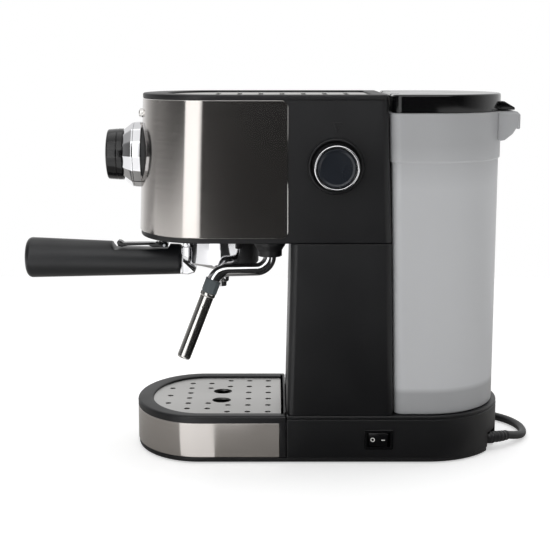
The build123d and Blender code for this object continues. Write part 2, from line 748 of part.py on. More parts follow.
# ---------------------------------------------------------------- steam wand
floor_top = column_top + head_floor
gland = turned([
    (0, gland_top), (3.0, gland_top), (3.0, floor_top + 6), (9.0, floor_top + 6), (9.0, floor_top),
    (7.0, floor_top), (7.0, column_top), (gland_flange_radius, column_top),
    (gland_flange_radius, gland_flange_bottom), (gland_radius, gland_flange_bottom - 3.5),
    (gland_radius, gland_bottom), (0, gland_bottom),
], gland_x, gland_y)
gland -= post(gland_x, gland_y, gland_bottom, column_top + 1, wand_radius + slip)
parts["wand_gland"] = gland


def wand_point(reach, z):
    """A point of the wand: its distance out from the gland along the wand's heading, and its height."""
    angle = radians(wand_heading)
    return (gland_x + reach * sin(angle), gland_y - reach * cos(angle), z)


straight = (wand_level - wand_tip_z) / cos(radians(wand_tilt))
tip_reach = wand_reach + straight * sin(radians(wand_tilt))
wand_tip = Vector(*wand_point(tip_reach, wand_tip_z))
wand_knee = Vector(*wand_point(wand_reach, wand_level))
wand_down = (wand_tip - wand_knee).normalized()
sleeve_top = wand_tip - wand_down * sleeve_length
grip_low = sleeve_top - wand_down * (sleeve_collar + 0.4)
grip_top = grip_low - wand_down * grip_length


def along_wand(start, length, radius):
    """A rod that starts at a point of the wand's straight end and runs down it."""
    return Plane(origin=start, z_dir=wand_down) * Pos(0, 0, length / 2) * Cylinder(radius, length)


wand_route = [
    wand_point(0, column_top),
    wand_point(0, wand_level),
    wand_point(wand_reach, wand_level),
    tuple(grip_low),
]
wand_bends = [12.0, 15.0]
steam = tube(wand_route, wand_radius, wand_bends)
nozzle_end = wand_tip - wand_down * 6
steam += along_wand(grip_low, (nozzle_end - grip_low).length, nozzle_radius)
steam -= along_wand(nozzle_end - wand_down * 8, 9, 1.2)
parts["steam_tube"] = steam
level_across = (cos(radians(wand_heading)), sin(radians(wand_heading)), 0)
grip_plane = Plane(origin=grip_top, x_dir=level_across, z_dir=wand_down)
grip_face = Rectangle(11.2, 11.8)
grip = extrude(fillet(grip_face.vertices(), 2.2), grip_length)
grip += Pos(0, 7.4, 0) * extrude(fillet(Rectangle(3.2, 5.5).vertices(), 1.2), grip_length)
grip = grip_plane * grip
grip -= tube(wand_route, wand_radius + 0.02, wand_bends)
parts["wand_grip"] = grip
sleeve = along_wand(sleeve_top - wand_down * sleeve_collar, sleeve_collar, sleeve_collar_radius)
sleeve += along_wand(sleeve_top, sleeve_length, sleeve_radius)
bore_length = sleeve_collar + sleeve_length - 1.5
sleeve -= along_wand(sleeve_top - wand_down * sleeve_collar, bore_length, sleeve_bore)
sleeve -= along_wand(wand_tip - wand_down * 2, 3, 1.0)
parts["froth_sleeve"] = sleeve

# ---------------------------------------------------------------- power switch
y_low, y_high = switch_y - switch_length / 2, switch_y + switch_length / 2
z_low, z_high = switch_z - switch_height / 2, switch_z + switch_height / 2
outer_x = base_half_width + switch_flange
frame_body = block(base_half_width, outer_x, y_low, y_high, z_low, z_high)
frame_body = fillet(frame_body.edges().filter_by(Axis.X), 1.5)
frame_body += block(base_half_width - switch_depth + snug, base_half_width,
                    y_low + switch_rim + snug, y_high - switch_rim - snug,
                    z_low + switch_rim + snug, z_high - switch_rim - snug)
rim = switch_rim + 1.2
well = (y_low + rim, y_high - rim, z_low + rim, z_high - rim)
frame_body -= block(base_half_width - switch_depth + 2, outer_x, *well)
parts["switch_frame"] = frame_body
pivot_x = base_half_width - rocker_pivot_depth
half_y = (well[1] - well[0]) / 2 - 0.35
reach = outer_x + 0.8 - pivot_x
swing = radians(rocker_swing / 2)
end_x = pivot_x + reach - half_y * sin(swing) * 0.55
back_x = end_x - 4.6
profile = Polyline(
    (pivot_x + reach, switch_y), (end_x, switch_y + half_y - 0.7), (back_x, switch_y + half_y - 0.9),
    (pivot_x - 3.0, switch_y + 3.0), (pivot_x - 3.0, switch_y - 3.0), (back_x, switch_y - half_y + 0.9),
    (end_x, switch_y - half_y + 0.7), close=True)
rocker = extrude(Pos(0, 0, well[2] + 0.35) * make_face(profile), well[3] - well[2] - 0.7, dir=(0, 0, 1))
about_pivot = Pos(pivot_x, switch_y, 0) * Rot(0, 0, -rocker_swing / 2) * Pos(-pivot_x, -switch_y, 0)
parts["switch_rocker"] = about_pivot * rocker

# ---------------------------------------------------------------- water tank
def tank_form(low, high, inset):
    """The tank's form between two heights, drawn in by an inset: its front wall leans."""
    faces = []
    for z in (low, high):
        share = (z - tank_bottom) / (tank_rim - tank_bottom)
        front = tank_front_low + (tank_front_top - tank_front_low) * share + max(inset, 0.0)
        corner = max(tank_corner - inset, 1.0)
        outline = plan(tank_half_width - inset, front, tank_rear - inset,
                       rear_depth=tank_rear_depth - inset, corner=corner)
        faces.append(Pos(0, 0, z) * outline)
    return loft(faces, ruled=True)


tank = tank_form(tank_bottom, tank_step, 0) + tank_form(tank_step, tank_rim, -tank_step_out)
lip = block(-tank_handle_half, tank_handle_half, tank_rear - 12, tank_handle_rear, tank_handle_low, tank_rim)
lip = fillet(lip.edges().filter_by(Axis.X).group_by(Axis.Y)[-1].sort_by(Axis.Z)[-1:], 5.0)
lip = fillet(lip.edges().filter_by(Axis.Z).group_by(Axis.Y)[-1], 4.0)
tank += lip
lip_wall = 2.6
gap_half = tank_handle_half - lip_wall
finger_gap = block(-gap_half, gap_half, tank_rear + tank_step_out, tank_handle_rear - lip_wall,
                   tank_handle_low, tank_rim - 3.2)
tank -= tank_form(tank_floor_z + tank_floor, tank_step, tank_wall)
tank -= tank_form(tank_step, tank_rim, tank_wall - tank_step_out)
tank -= tank_form(tank_bottom, tank_floor_z, tank_wall)
tank -= finger_gap
tank -= post(0, tank_port_y, tank_floor_z, tank_floor_z + tank_floor, 5.8 + snug)
for side in (-1, 1):
    low_x, high_x = side * hinge_ear_x - hinge_ear_width / 2, side * hinge_ear_x + hinge_ear_width / 2
    tank += block(low_x, high_x, tank_front_top + 0.8, hinge_y + 3.0, tank_rim - 4, hinge_z) \
        + rod_x(hinge_y, hinge_z, low_x, high_x, 3.0)
tank -= rod_x(hinge_y, hinge_z, -hinge_ear_x - 5, hinge_ear_x + 5, hinge_pin_radius + 0.02)
parts["tank_shell"] = tank
parts["lid_hinge_pin"] = rod_x(hinge_y, hinge_z, -hinge_ear_x - 8, hinge_ear_x + 8, hinge_pin_radius)

seat_top = tank_floor_z + tank_floor
valve_seat = turned([(9.0, seat_top), (9.0, seat_top + 2), (3.6, seat_top + 2), (3.6, 46.0), (5.8, 46.0),
                     (5.8, seat_top)], 0, tank_port_y)
parts["tank_valve_seat"] = valve_seat
parts["tank_valve_poppet"] = (post(0, tank_port_y, seat_top + 2, seat_top + 3.6, 5.2)
                              + post(0, tank_port_y, 50.0, seat_top + 2, 1.6))

lid_low = tank_rim + 0.2
lid_half = tank_half_width + tank_step_out
lid_depth = tank_rear_depth + tank_step_out
lid_outline = plan(lid_half, lid_front, lid_rear, rear_depth=lid_depth, corner=tank_corner)
lid_inner = plan(lid_half - lid_wall, hinge_y + 5.2, lid_rear - lid_wall,
                 rear_depth=lid_depth - lid_wall, corner=tank_corner - lid_wall)
lid = prism(lid_outline, lid_low, machine_height)
lid = chamfer(lid.faces().sort_by(Axis.Z)[-1].edges().filter_by(GeomType.LINE, reverse=True), 0.8)
front_round = block(-90, 90, lid_front - 1, hinge_y, hinge_z, machine_height + 1) \
    - rod_x(hinge_y, hinge_z, -90, 90, machine_height - hinge_z)
lid -= front_round
lid -= prism(lid_inner, lid_low, machine_height - lid_wall)
ear_slot = hinge_ear_width / 2 + 0.4
for ear_x in (-hinge_ear_x, hinge_ear_x):
    lid -= block(ear_x - ear_slot, ear_x + ear_slot, lid_front - 1, hinge_y + 3.6, lid_low - 1, machine_height + 1)
lid -= rod_x(hinge_y, hinge_z, -hinge_ear_x - 8.3, hinge_ear_x + 8.3, hinge_pin_radius + slip)
front_relief = [(lid_front - 1, lid_low - 1), (hinge_y + 2.0, lid_low - 1), (lid_front - 1, hinge_z - 3.0)]
lid -= side_profile(front_relief, -90, 90)
tab = side_profile([(lid_rear - 4, tank_rim + 0.8), (lid_tab_rear, tank_rim + 0.8), (lid_tab_rear, tank_rim + 2.8),
                    (lid_rear - 4, tank_rim + 8.0)], -24, 24)
tab = fillet(tab.edges().filter_by(Axis.Z).group_by(Axis.Y)[-1], 1.8)
lid += tab - prism(lid_inner, lid_low, machine_height)
parts["tank_lid"] = lid

# ---------------------------------------------------------------- drip tray
tray_half = base_half_width


def tray_outline(inset):
    """The tray in plan, drawn in by an inset."""
    return plan(tray_half - inset, base_front + inset, tray_rear - max(inset, 0),
                front_depth=base_front_depth - inset, corner=1.0)


def tray_opening(inset, corner=3.0):
    """The outline inside the rim where the plate lies, drawn in by an inset."""
    gap = tray_seat_inset + inset
    return plan(tray_half - gap, base_front + gap + 2.0, tray_seat_rear - inset,
                front_depth=base_front_depth - gap, corner=corner)


tray = prism(tray_outline(band_thickness), tray_floor_bottom, tray_band_top)
tray += prism(tray_outline(0), tray_band_top, base_top)
tray = chamfer(tray.faces().sort_by(Axis.Z)[-1].edges(), 0.8)
tray += block(-tray_half, tray_half, tray_band_end + 0.2, tray_rear, tray_floor_bottom, tray_band_top)
tray -= prism(tray_opening(0), grid_top - grid_thickness, base_top)
tray -= prism(tray_opening(tray_ledge_width), tray_floor_bottom + tray_wall, base_top)
parts["tray_body"] = tray
band = prism(tray_outline(0), tray_floor_bottom + 0.2, tray_band_top) \
    - prism(tray_outline(band_thickness), tray_floor_bottom, tray_band_top)
band &= block(-90, 90, base_front - 1, tray_band_end, 0, 60)
parts["tray_band"] = band

grid = prism(tray_opening(grid_gap, corner=3.0 - grid_gap), grid_top - grid_thickness, grid_top)
grid_rows = (
    (-91.0, (0.0, 24.0)),
    (-74.0, (8.2, 24.4, 40.6)),
    (-57.0, (24.4, 40.6)),
    (-40.0, (30.0, 50.0)),
    (-23.0, (10.0, 30.0, 50.0)),
    (-6.0, (10.0, 30.0, 50.0)),
)
for row_y, places in grid_rows:
    for x in sorted({side * place for place in places for side in (-1, 1)}):
        grid -= post(x, row_y, grid_top - grid_thickness, grid_top, grid_hole_radius)
for side in (-1, 1):
    grid -= post(side * 14.3, -46.0, grid_top - grid_thickness, grid_top, grid_big_hole_radius)
parts["drip_grid"] = grid

# ---------------------------------------------------------------- mains lead
relief_path = JernArc(start=gland_frame.origin, tangent=gland_frame.z_dir, radius=gland_bend, arc_size=gland_turn)
relief_end = Plane(origin=relief_path @ 1, z_dir=relief_path % 1)
relief = sweep([gland_frame * Circle(gland_root_radius), relief_end * Circle(gland_end_radius)],
               path=relief_path, multisection=True)
relief += gland_frame * Pos(0, 0, -shell_wall / 2) * Cylinder(4.0, shell_wall)
relief += gland_frame * Pos(0, 0, -shell_wall - 2) * Cylinder(6.0, 3.0)
parts["cord_gland"] = relief

cord_radii = corner_radii(cord_route)
print("lead arc radii", [round(r, 1) for r in cord_radii])
lead = tube(cord_route, cord_radius, cord_radii)
lead_path = FilletPolyline(*cord_route, radius=cord_radii)
full_volume = pi * cord_radius ** 2 * lead_path.length
print("lead volume ratio", round(lead.volume / full_volume, 5))
parts["mains_cord"] = lead
coil_x, coil_y = coil_centre
coil = post(coil_x, coil_y, 0, coil_height, coil_radius)
parts["cord_coil"] = coil - post(coil_x, coil_y, 0, coil_height, coil_bore)

exit_angle = radians(coil_exit_angle)
exit_r = coil_mean_radius + 3.5
exit_point = Vector(coil_x + exit_r * cos(exit_angle), coil_y + exit_r * sin(exit_angle), 9.2)
exit_dir = Vector(sin(exit_angle), -cos(exit_angle), 0)
plug_z = 8.2
lead_end = exit_point + exit_dir * plug_lead_length
plug_root = (lead_end.X, lead_end.Y, plug_z)
plug_frame = Plane(origin=plug_root, x_dir=(-exit_dir.Y, exit_dir.X, 0), z_dir=exit_dir)
last_straight = 12.0
tail_bend = (lead_end.X - exit_dir.X * last_straight, lead_end.Y - exit_dir.Y * last_straight, plug_z)
tail = tube([tuple(exit_point), tail_bend, plug_root], cord_radius, [40.0])
parts["plug_lead"] = tail
plug = plug_frame * loft([Circle(4.4), Pos(0, 0, plug_relief) * Circle(6.2)])
plug_face = fillet(Rectangle(plug_width, plug_thickness).vertices(), 4.0)
plug += plug_frame * Pos(0, 0, plug_relief) * extrude(plug_face, plug_length)
parts["plug_body"] = plug
parts["plug_pins"] = Compound([
    (plug_frame * Pos(side * pin_pitch / 2, 0, plug_relief + plug_length + pin_length / 2)
     * Cylinder(pin_radius, pin_length)).solid()
    for side in (-1, 1)
])

# ---------------------------------------------------------------- export
os.makedirs("parts", exist_ok=True)
for name, shape in parts.items():
    export_step(origin_shift * shape, f"parts/{name}.step")
shift = origin_shift.position
print("origin shift", shift.X, shift.Y, "nodes", len(parts))
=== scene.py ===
# %% [markdown]
# # A slim home espresso machine
# This lesson dresses a working CAD model of a small espresso machine for its picture. The CAD model already
# holds every size and every joint, so here each visible piece is drawn again as a smooth surface with soft
# edges, and given the finish that the real one has: black moulded ABS, brushed stainless steel, chrome plate,
# frosted plastic and rubber. Pieces that are already right, such as the perforated drip plate, only get a finish.

# %% Load the CAD frame
import json
import math

import bpy
import numpy as np
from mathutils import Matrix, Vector


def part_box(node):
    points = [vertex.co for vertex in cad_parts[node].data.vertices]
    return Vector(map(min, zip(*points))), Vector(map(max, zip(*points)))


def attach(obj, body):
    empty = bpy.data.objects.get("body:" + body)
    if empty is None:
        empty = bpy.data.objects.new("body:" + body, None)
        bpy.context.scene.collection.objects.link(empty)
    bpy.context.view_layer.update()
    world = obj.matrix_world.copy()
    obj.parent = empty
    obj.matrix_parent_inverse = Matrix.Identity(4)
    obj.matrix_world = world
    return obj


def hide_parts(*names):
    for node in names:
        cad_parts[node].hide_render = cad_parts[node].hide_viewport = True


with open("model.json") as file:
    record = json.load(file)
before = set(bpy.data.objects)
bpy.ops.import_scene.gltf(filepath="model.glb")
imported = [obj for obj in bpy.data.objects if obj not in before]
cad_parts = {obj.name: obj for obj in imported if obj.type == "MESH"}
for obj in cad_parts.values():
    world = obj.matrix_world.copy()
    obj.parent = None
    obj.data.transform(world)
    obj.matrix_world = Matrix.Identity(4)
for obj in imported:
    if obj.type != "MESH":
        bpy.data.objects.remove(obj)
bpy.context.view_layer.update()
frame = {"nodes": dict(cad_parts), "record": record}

# %% [markdown]
# Blender works in metres and the machine is easier to think about in millimetres from its own mid-plane, with
# X = 0 across the body. One small function carries a point from the machine's millimetres to the shared frame.
# The two offsets are read from the frame, so that nothing has to be fitted by eye.

# %% From the machine's millimetres to the frame
pan_low, pan_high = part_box("base_pan")
PAN_FRONT = -118.1
shift = np.array([500 * (pan_low.x + pan_high.x), 1000 * pan_low.y - PAN_FRONT, 0.0])


def place(points):
    """Points in the machine's millimetres, moved by the frame's offset and turned to metres."""
    return (np.asarray(points, float) + shift) / 1000.0


print("offset in mm", shift.round(3))

# %% [markdown]
# The camera comes first. A product shot of a narrow machine is usually taken from its side with a long lens a
# metre away, slightly above, so that the sides stay nearly parallel and the drip plate can just be seen.

# %% Camera
CAMERA_AT = (1050.0, 0.0, 329.0)
LENS_MM = 81.3
LOOKS_DOWN = math.radians(9.95)
camera_data = bpy.data.cameras.new("camera")
camera_data.lens = LENS_MM
camera_data.sensor_width = 36.0
camera_data.clip_end = 50.0
camera = bpy.data.objects.new("camera", camera_data)
camera.location = place(CAMERA_AT)
camera.rotation_euler = (math.radians(90) - LOOKS_DOWN, 0.0, math.radians(90))
bpy.context.scene.collection.objects.link(camera)
bpy.context.scene.camera = camera
print("camera at", [round(value, 3) for value in camera.location], "m, lens", LENS_MM, "mm")

# %% [markdown]
# ## Meshes from arrays
# Nearly every piece here is one grid of points: rings laid one above the other, or a profile turned or carried
# along a line. The grid is worked out as a whole array, so a single function can turn any of them into a mesh.

# %% A mesh from a grid of rings
SHARP_EDGE = math.radians(32)


def grid_piece(name, rings, close_rows=False, caps=(True, True), smooth=True):
    """A mesh from rings of points, an array of rows by columns by 3 in the machine's millimetres.

    Each ring is closed, neighbouring rings are joined by four-sided faces, and an end ring is filled if its cap
    is wanted. With close_rows the last ring is joined to the first, which makes a torus-like piece.
    """
    rings = np.asarray(rings, float)
    rows, columns = rings.shape[:2]
    index = np.arange(rows * columns).reshape(rows, columns)
    upper = np.roll(index, -1, axis=0) if close_rows else index[1:]
    lower = index if close_rows else index[:-1]
    quads = np.stack([lower, np.roll(lower, -1, axis=1), np.roll(upper, -1, axis=1), upper], axis=-1)
    faces = quads.reshape(-1, 4).tolist()
    if caps[0] and not close_rows:
        faces.append(index[0][::-1].tolist())
    if caps[1] and not close_rows:
        faces.append(index[-1].tolist())
    mesh = bpy.data.meshes.new(name)
    mesh.from_pydata(place(rings.reshape(-1, 3)).tolist(), [], faces)
    mesh.validate()
    if smooth:
        mesh.shade_smooth()
        mesh.set_sharp_from_angle(angle=SHARP_EDGE)
    piece = bpy.data.objects.new(name, mesh)
    bpy.context.scene.collection.objects.link(piece)
    return piece


def outward(piece):
    """Turns a closed mesh's faces outwards: its signed volume, the sum over faces, must come out positive."""
    mesh = piece.data
    mesh.calc_loop_triangles()
    points = np.empty(len(mesh.vertices) * 3, np.float32)
    mesh.vertices.foreach_get("co", points)
    corners = np.empty(len(mesh.loop_triangles) * 3, np.int32)
    mesh.loop_triangles.foreach_get("vertices", corners)
    a, b, c = np.moveaxis(points.reshape(-1, 3)[corners.reshape(-1, 3)].astype(float), 1, 0)
    if np.einsum("ij,ij->i", a, np.cross(b, c)).sum() < 0:
        mesh.flip_normals()
    return piece


# %% [markdown]
# Real edges are never perfectly sharp: a moulded case has a radius of half a millimetre or more, and that thin
# round edge catches the light and makes a piece look real. So every profile goes through one function that
# replaces its corners with small arcs.

# %% Round the corners of a profile
def rounded(points, radii, steps=5):
    """A polyline whose inner corners are replaced by arcs.

    At each corner the arc starts and ends at radius times the tangent of half the turn from the corner, limited
    to 0.48 of the shorter side, and its points follow the circle that touches both sides there.
    """
    points = [np.asarray(p, float) for p in points]
    radii = np.broadcast_to(radii, len(points) - 2)
    made = [points[0][None]]
    for before, corner, after, radius in zip(points, points[1:], points[2:], radii):
        to_start, to_end = before - corner, after - corner
        length_in, length_out = np.linalg.norm(to_start), np.linalg.norm(to_end)
        to_start, to_end = to_start / length_in, to_end / length_out
        half_turn = 0.5 * (math.pi - math.acos(np.clip(to_start @ to_end, -1, 1)))
        reach = min(radius * math.tan(half_turn), 0.48 * min(length_in, length_out))
        if reach < 1e-6 or half_turn < 1e-3:
            made.append(corner[None])
            continue
        radius = reach / math.tan(half_turn)
        middle = (to_start + to_end) / np.linalg.norm(to_start + to_end)
        centre = corner + middle * radius / math.cos(half_turn)
        angle = np.linspace(-half_turn, half_turn, steps + 1)[:, None]
        sideways = (to_end - to_start) / np.linalg.norm(to_end - to_start)
        made.append(centre - middle * radius * np.cos(angle) + sideways * radius * np.sin(angle))
    return np.concatenate(made + [points[-1][None]])


# %% [markdown]
# The machine's plan is a slot shape: a half-ellipse at the front, straight sides, and either another half-ellipse
# or a flat end with small corners at the rear. Every case part is rings of that outline, drawn in or out by an
# inset as the height changes, so all of them share one outline function.

# %% The plan outline as a ring
END_POINTS = 44
SIDE_POINTS = 5


def ring(z, half, front, rear, front_depth=0.0, rear_depth=0.0, corner=6.0, inset=0.0):
    """One closed plan outline at height z, drawn in by an inset.

    An end is x = off - rx cos t and y = tip + ry (1 - sin t) for t from 0 to pi. A half-ellipse has rx = half
    and no offset. A flat end has rx = ry = corner, and each half of it is offset to its own side.
    """
    half, front, rear = half - inset, front + inset, rear - inset
    t = np.linspace(0, math.pi, END_POINTS)
    ends, side_y = [], []
    for tip, depth, inward in ((front, front_depth, 1), (rear, rear_depth, -1)):
        round_x, round_y = (half, depth - inset) if depth else (max(corner - inset, 0.4),) * 2
        off = np.sign(t - math.pi / 2) * (half - round_x)
        ends.append(np.stack([off - round_x * np.cos(t), tip + inward * round_y * (1 - np.sin(t))], axis=1))
        side_y.append(tip + inward * round_y)
    climb = np.linspace(side_y[0], side_y[1], SIDE_POINTS + 2)[1:-1]
    right = np.stack([np.full(SIDE_POINTS, half), climb], axis=1)
    flat = np.concatenate([ends[0], right, ends[1] * [-1, 1], right[::-1] * [-1, 1]])
    return np.column_stack([flat, np.broadcast_to(z, len(flat))])


def stacked(profile, plan):
    """Rings for each (inset, z) of a profile. The plan is a set of sizes, or a function of height that gives one."""
    return np.array([ring(z, inset=inset, **(plan(z) if callable(plan) else plan)) for inset, z in profile])


print("points round a plan", len(ring(0.0, 10.0, -10.0, 10.0)))

# %% [markdown]
# Round pieces are lathe work: a profile of radius and height turned about an axis. The same function makes the
# bowl, the dial, the knob and the froth sleeve, because only the axis differs.

# %% Turned pieces
def axes_for(direction):
    """Three unit vectors: two across a direction, and the direction itself."""
    along = np.asarray(direction, float) / np.linalg.norm(direction)
    side = np.cross((0, 0, 1), along) if abs(along[2]) < 0.9 else np.cross((0, 1, 0), along)
    side /= np.linalg.norm(side)
    return side, np.cross(along, side), along


def lathe(name, profile, centre, direction, segments=96, facets=0):
    """A profile of (radius, height) points turned about a direction through a centre.

    A point is centre + radius (side cos a + up sin a) + along height. With facets the radius is divided by the
    cosine of the angle from the middle of the flat, which makes a polygon of that many flats.
    """
    side, up, along = axes_for(direction)
    profile = np.asarray(profile, float)
    angle = np.linspace(0, 2 * math.pi, segments, endpoint=False)
    flat = np.ones(segments)
    if facets:
        sector = 2 * math.pi / facets
        flat = math.cos(sector / 2) / np.cos(np.mod(angle, sector) - sector / 2)
    around = (np.cos(angle)[:, None] * side + np.sin(angle)[:, None] * up) * flat[:, None]
    rings = np.asarray(centre) + profile[:, 0, None, None] * around + profile[:, 1, None, None] * along
    closed = np.allclose(profile[0], profile[-1])
    if closed:
        rings = rings[:-1]
    return outward(grid_piece(name, rings, close_rows=closed))


def carried(name, path, radius, segments=32, squash=1.0):
    """A round section carried along a path of points, its frame turned as little as possible at each step.

    The section's side vector is the last one with its part along the new direction taken out. The radius may
    change along the path, and squash flattens the section across its second vector.
    """
    path = np.asarray(path, float)
    steps = np.gradient(path, axis=0)
    steps /= np.linalg.norm(steps, axis=1)[:, None]
    sides = [axes_for(steps[0])[0]]
    for step in steps[1:]:
        side = sides[-1] - step * (sides[-1] @ step)
        sides.append(side / np.linalg.norm(side))
    sides = np.array(sides)
    ups = np.cross(steps, sides)
    angle = np.linspace(0, 2 * math.pi, segments, endpoint=False)[None, :, None]
    radius = np.broadcast_to(radius, len(path))[:, None, None]
    rings = path[:, None] + radius * (np.cos(angle) * sides[:, None] + squash * np.sin(angle) * ups[:, None])
    return outward(grid_piece(name, rings))


def bar(name, outline, low, high, axis="x", edge=0.6, corner=0.8):
    """A flat outline of two coordinates carried straight along an axis, with round corners and round ends.

    Near each end the outline is drawn towards its own inside by edge (1 - cos a) while it advances by
    edge sin a, which rounds the rim with a quarter circle.
    """
    outline = np.asarray(outline, float)
    closed = rounded(np.concatenate([outline[-1:], outline, outline[:1]]), corner, 4)[1:-1]
    before, after = np.roll(closed, 1, axis=0), np.roll(closed, -1, axis=0)
    tangent = after - before
    tangent /= np.linalg.norm(tangent, axis=1)[:, None]
    area = 0.5 * np.sum(closed[:, 0] * after[:, 1] - after[:, 0] * closed[:, 1])
    inward = np.stack([-tangent[:, 1], tangent[:, 0]], axis=1) * np.sign(area)
    turn = np.linspace(0, math.pi / 2, 4)
    draw = edge * np.concatenate([1 - np.sin(turn), 1 - np.sin(turn[::-1])])
    place_along = np.concatenate([low + edge * (1 - np.cos(turn)), high - edge * (1 - np.cos(turn[::-1]))])
    rings = []
    for inset, along in zip(draw, place_along):
        flat = closed + inward * inset
        column = np.full(len(flat), along)
        order = {"x": (column, flat[:, 0], flat[:, 1]), "y": (flat[:, 0], column, flat[:, 1]),
                 "z": (flat[:, 0], flat[:, 1], column)}[axis]
        rings.append(np.stack(order, axis=1))
    return outward(grid_piece(name, np.array(rings)))


def bent(points, radii, steps=14):
    """A centre line of straight runs joined by arcs, with extra points along the straight runs."""
    corners = rounded(points, radii, steps)
    lengths = np.linalg.norm(np.diff(corners, axis=0), axis=1)
    counts = np.maximum(1, np.ceil(lengths / 4.0).astype(int))
    runs = [a + (b - a) * np.linspace(0, 1, n, endpoint=False)[:, None]
            for a, b, n in zip(corners, corners[1:], counts)]
    return np.concatenate(runs + [corners[-1:]])


# %% [markdown]
# Holes and pockets are cut from the finished surface. The Boolean modifier does that exactly, so the cutter is
# made, used once and thrown away.

# %% Cut a pocket
def cut(piece, *cutters):
    """Takes each cutter's space out of a piece and removes the cutter."""
    for cutter in cutters:
        modifier = piece.modifiers.new("cut", "BOOLEAN")
        modifier.operation = "DIFFERENCE"
        modifier.solver = "EXACT"
        modifier.object = cutter
        bpy.context.view_layer.update()
        evaluated = piece.evaluated_get(bpy.context.evaluated_depsgraph_get())
        mesh = bpy.data.meshes.new_from_object(evaluated)
        piece.modifiers.clear()
        piece.data = mesh
        bpy.data.objects.remove(cutter)
    piece.data.shade_smooth()
    piece.data.set_sharp_from_angle(angle=SHARP_EDGE)
    return piece


def box_cutter(low, high):
    """A plain box between two corners, to cut with."""
    (x0, y0, z0), (x1, y1, z1) = low, high
    outline = np.array([(x0, y0), (x1, y0), (x1, y1), (x0, y1)])
    rings = [np.column_stack([outline, np.full(4, z)]) for z in (z0, z1)]
    return outward(grid_piece("cutter", rings, smooth=False))


def rod_cutter(centre, direction, radius, length):
    """A plain cylinder from a centre along a direction, to cut with."""
    return lathe("cutter", [(0.01, 0), (radius, 0), (radius, length), (0.01, length)], centre, direction, 64)


# %% [markdown]
# ## Finishes
# A finish starts from what the real surface is. Colours are written as the sRGB hex values a person would pick,
# and one function turns them to the linear values that the shader needs. One small function adds a node with
# its settings and links, so each finish reads as a short recipe.

# %% Colours and nodes
def linear(code):
    """sRGB hex to linear RGBA: c / 12.92 below 0.04045, else ((c + 0.055) / 1.055) to the power 2.4."""
    srgb = np.array([int(code[i:i + 2], 16) for i in (1, 3, 5)]) / 255.0
    value = np.where(srgb <= 0.04045, srgb / 12.92, ((srgb + 0.055) / 1.055) ** 2.4)
    return (*value.tolist(), 1.0)


def add(tree, kind, links=None, **settings):
    """Adds a node, sets its attributes and input values, and links (node, output) pairs to its inputs."""
    node = tree.nodes.new(kind)
    for name, value in settings.items():
        setattr(node, name, value)
    for socket, value in (links or {}).items():
        if isinstance(value, tuple) and isinstance(value[0], bpy.types.Node):
            tree.links.new(value[0].outputs[value[1]], node.inputs[socket])
        else:
            node.inputs[socket].default_value = value
    return node


def new_finish(name, **sockets):
    """A material with one Principled shader, its constant values set on the shader's own sockets."""
    material = bpy.data.materials.new(name)
    material.use_nodes = True
    tree = material.node_tree
    shader = tree.nodes["Principled BSDF"]
    for socket, value in sockets.items():
        shader.inputs[socket.replace("_", " ")].default_value = value
    return material, tree, shader


def cycles_per_metre(millimetres):
    """The scale of a noise whose features are about this many millimetres across."""
    return 1000.0 / millimetres


# %% [markdown]
# **Moulded ABS.** The case is black ABS from a mould whose steel was spark-eroded, which leaves a fine even grain.
# The grain spreads highlights into a soft satin sheen. It is about 0.15 mm on the real part, drawn here at
# 0.5 mm so that it shows, and a slow change of gloss over some centimetres stands for handling.

# %% Moulded plastics
def moulded(name, colour, roughness, grain_mm=0.5, depth_mm=0.02, spread=0.06, ior=1.46,
            metallic=0.0):
    """A moulded or cast surface with an even fine grain and slightly uneven gloss."""
    material, tree, shader = new_finish(name, Base_Color=linear(colour), IOR=ior, Metallic=metallic)
    here = add(tree, "ShaderNodeTexCoord")
    grain = add(tree, "ShaderNodeTexNoise", {"Vector": (here, "Object"), "Scale": cycles_per_metre(grain_mm),
                                             "Detail": 2.0})
    wear = add(tree, "ShaderNodeTexNoise", {"Vector": (here, "Object"), "Scale": cycles_per_metre(45),
                                            "Detail": 4.0})
    gloss = add(tree, "ShaderNodeMapRange", {"Value": (wear, "Fac"), "From Min": 0.3, "From Max": 0.7,
                                             "To Min": roughness - spread, "To Max": roughness + spread})
    bump = add(tree, "ShaderNodeBump", {"Height": (grain, "Fac"), "Strength": 0.5, "Distance": depth_mm / 1000})
    tree.links.new(gloss.outputs["Result"], shader.inputs["Roughness"])
    tree.links.new(bump.outputs["Normal"], shader.inputs["Normal"])
    return material


satin_black_abs = moulded("satin_black_abs", "#0e0e10", 0.45)
soft_black_abs = moulded("soft_black_abs_handle", "#141517", 0.38, grain_mm=0.7, depth_mm=0.03)
polished_black_abs = moulded("polished_black_abs", "#0a0a0b", 0.15, grain_mm=2.5, depth_mm=0.002, spread=0.03)
dished_black_cap = moulded("dished_black_cap", "#161a21", 0.30, grain_mm=0.9, depth_mm=0.012)
nylon_white = moulded("natural_nylon", "#cfccc2", 0.5)
board_green = moulded("green_solder_mask", "#0e4a2a", 0.35)

# %% [markdown]
# **Brushed stainless steel.** The wrap, the band round the drip tray and the drip plate are stainless sheet that
# was brushed along its length before it was bent, so the scratches run level round the machine. They are long
# along the sheet and about 0.1 mm wide across it, drawn here at 0.35 mm. The scratches make the gloss uneven
# from line to line and smear reflections up and down, which is what tells the eye that this is brushed metal.

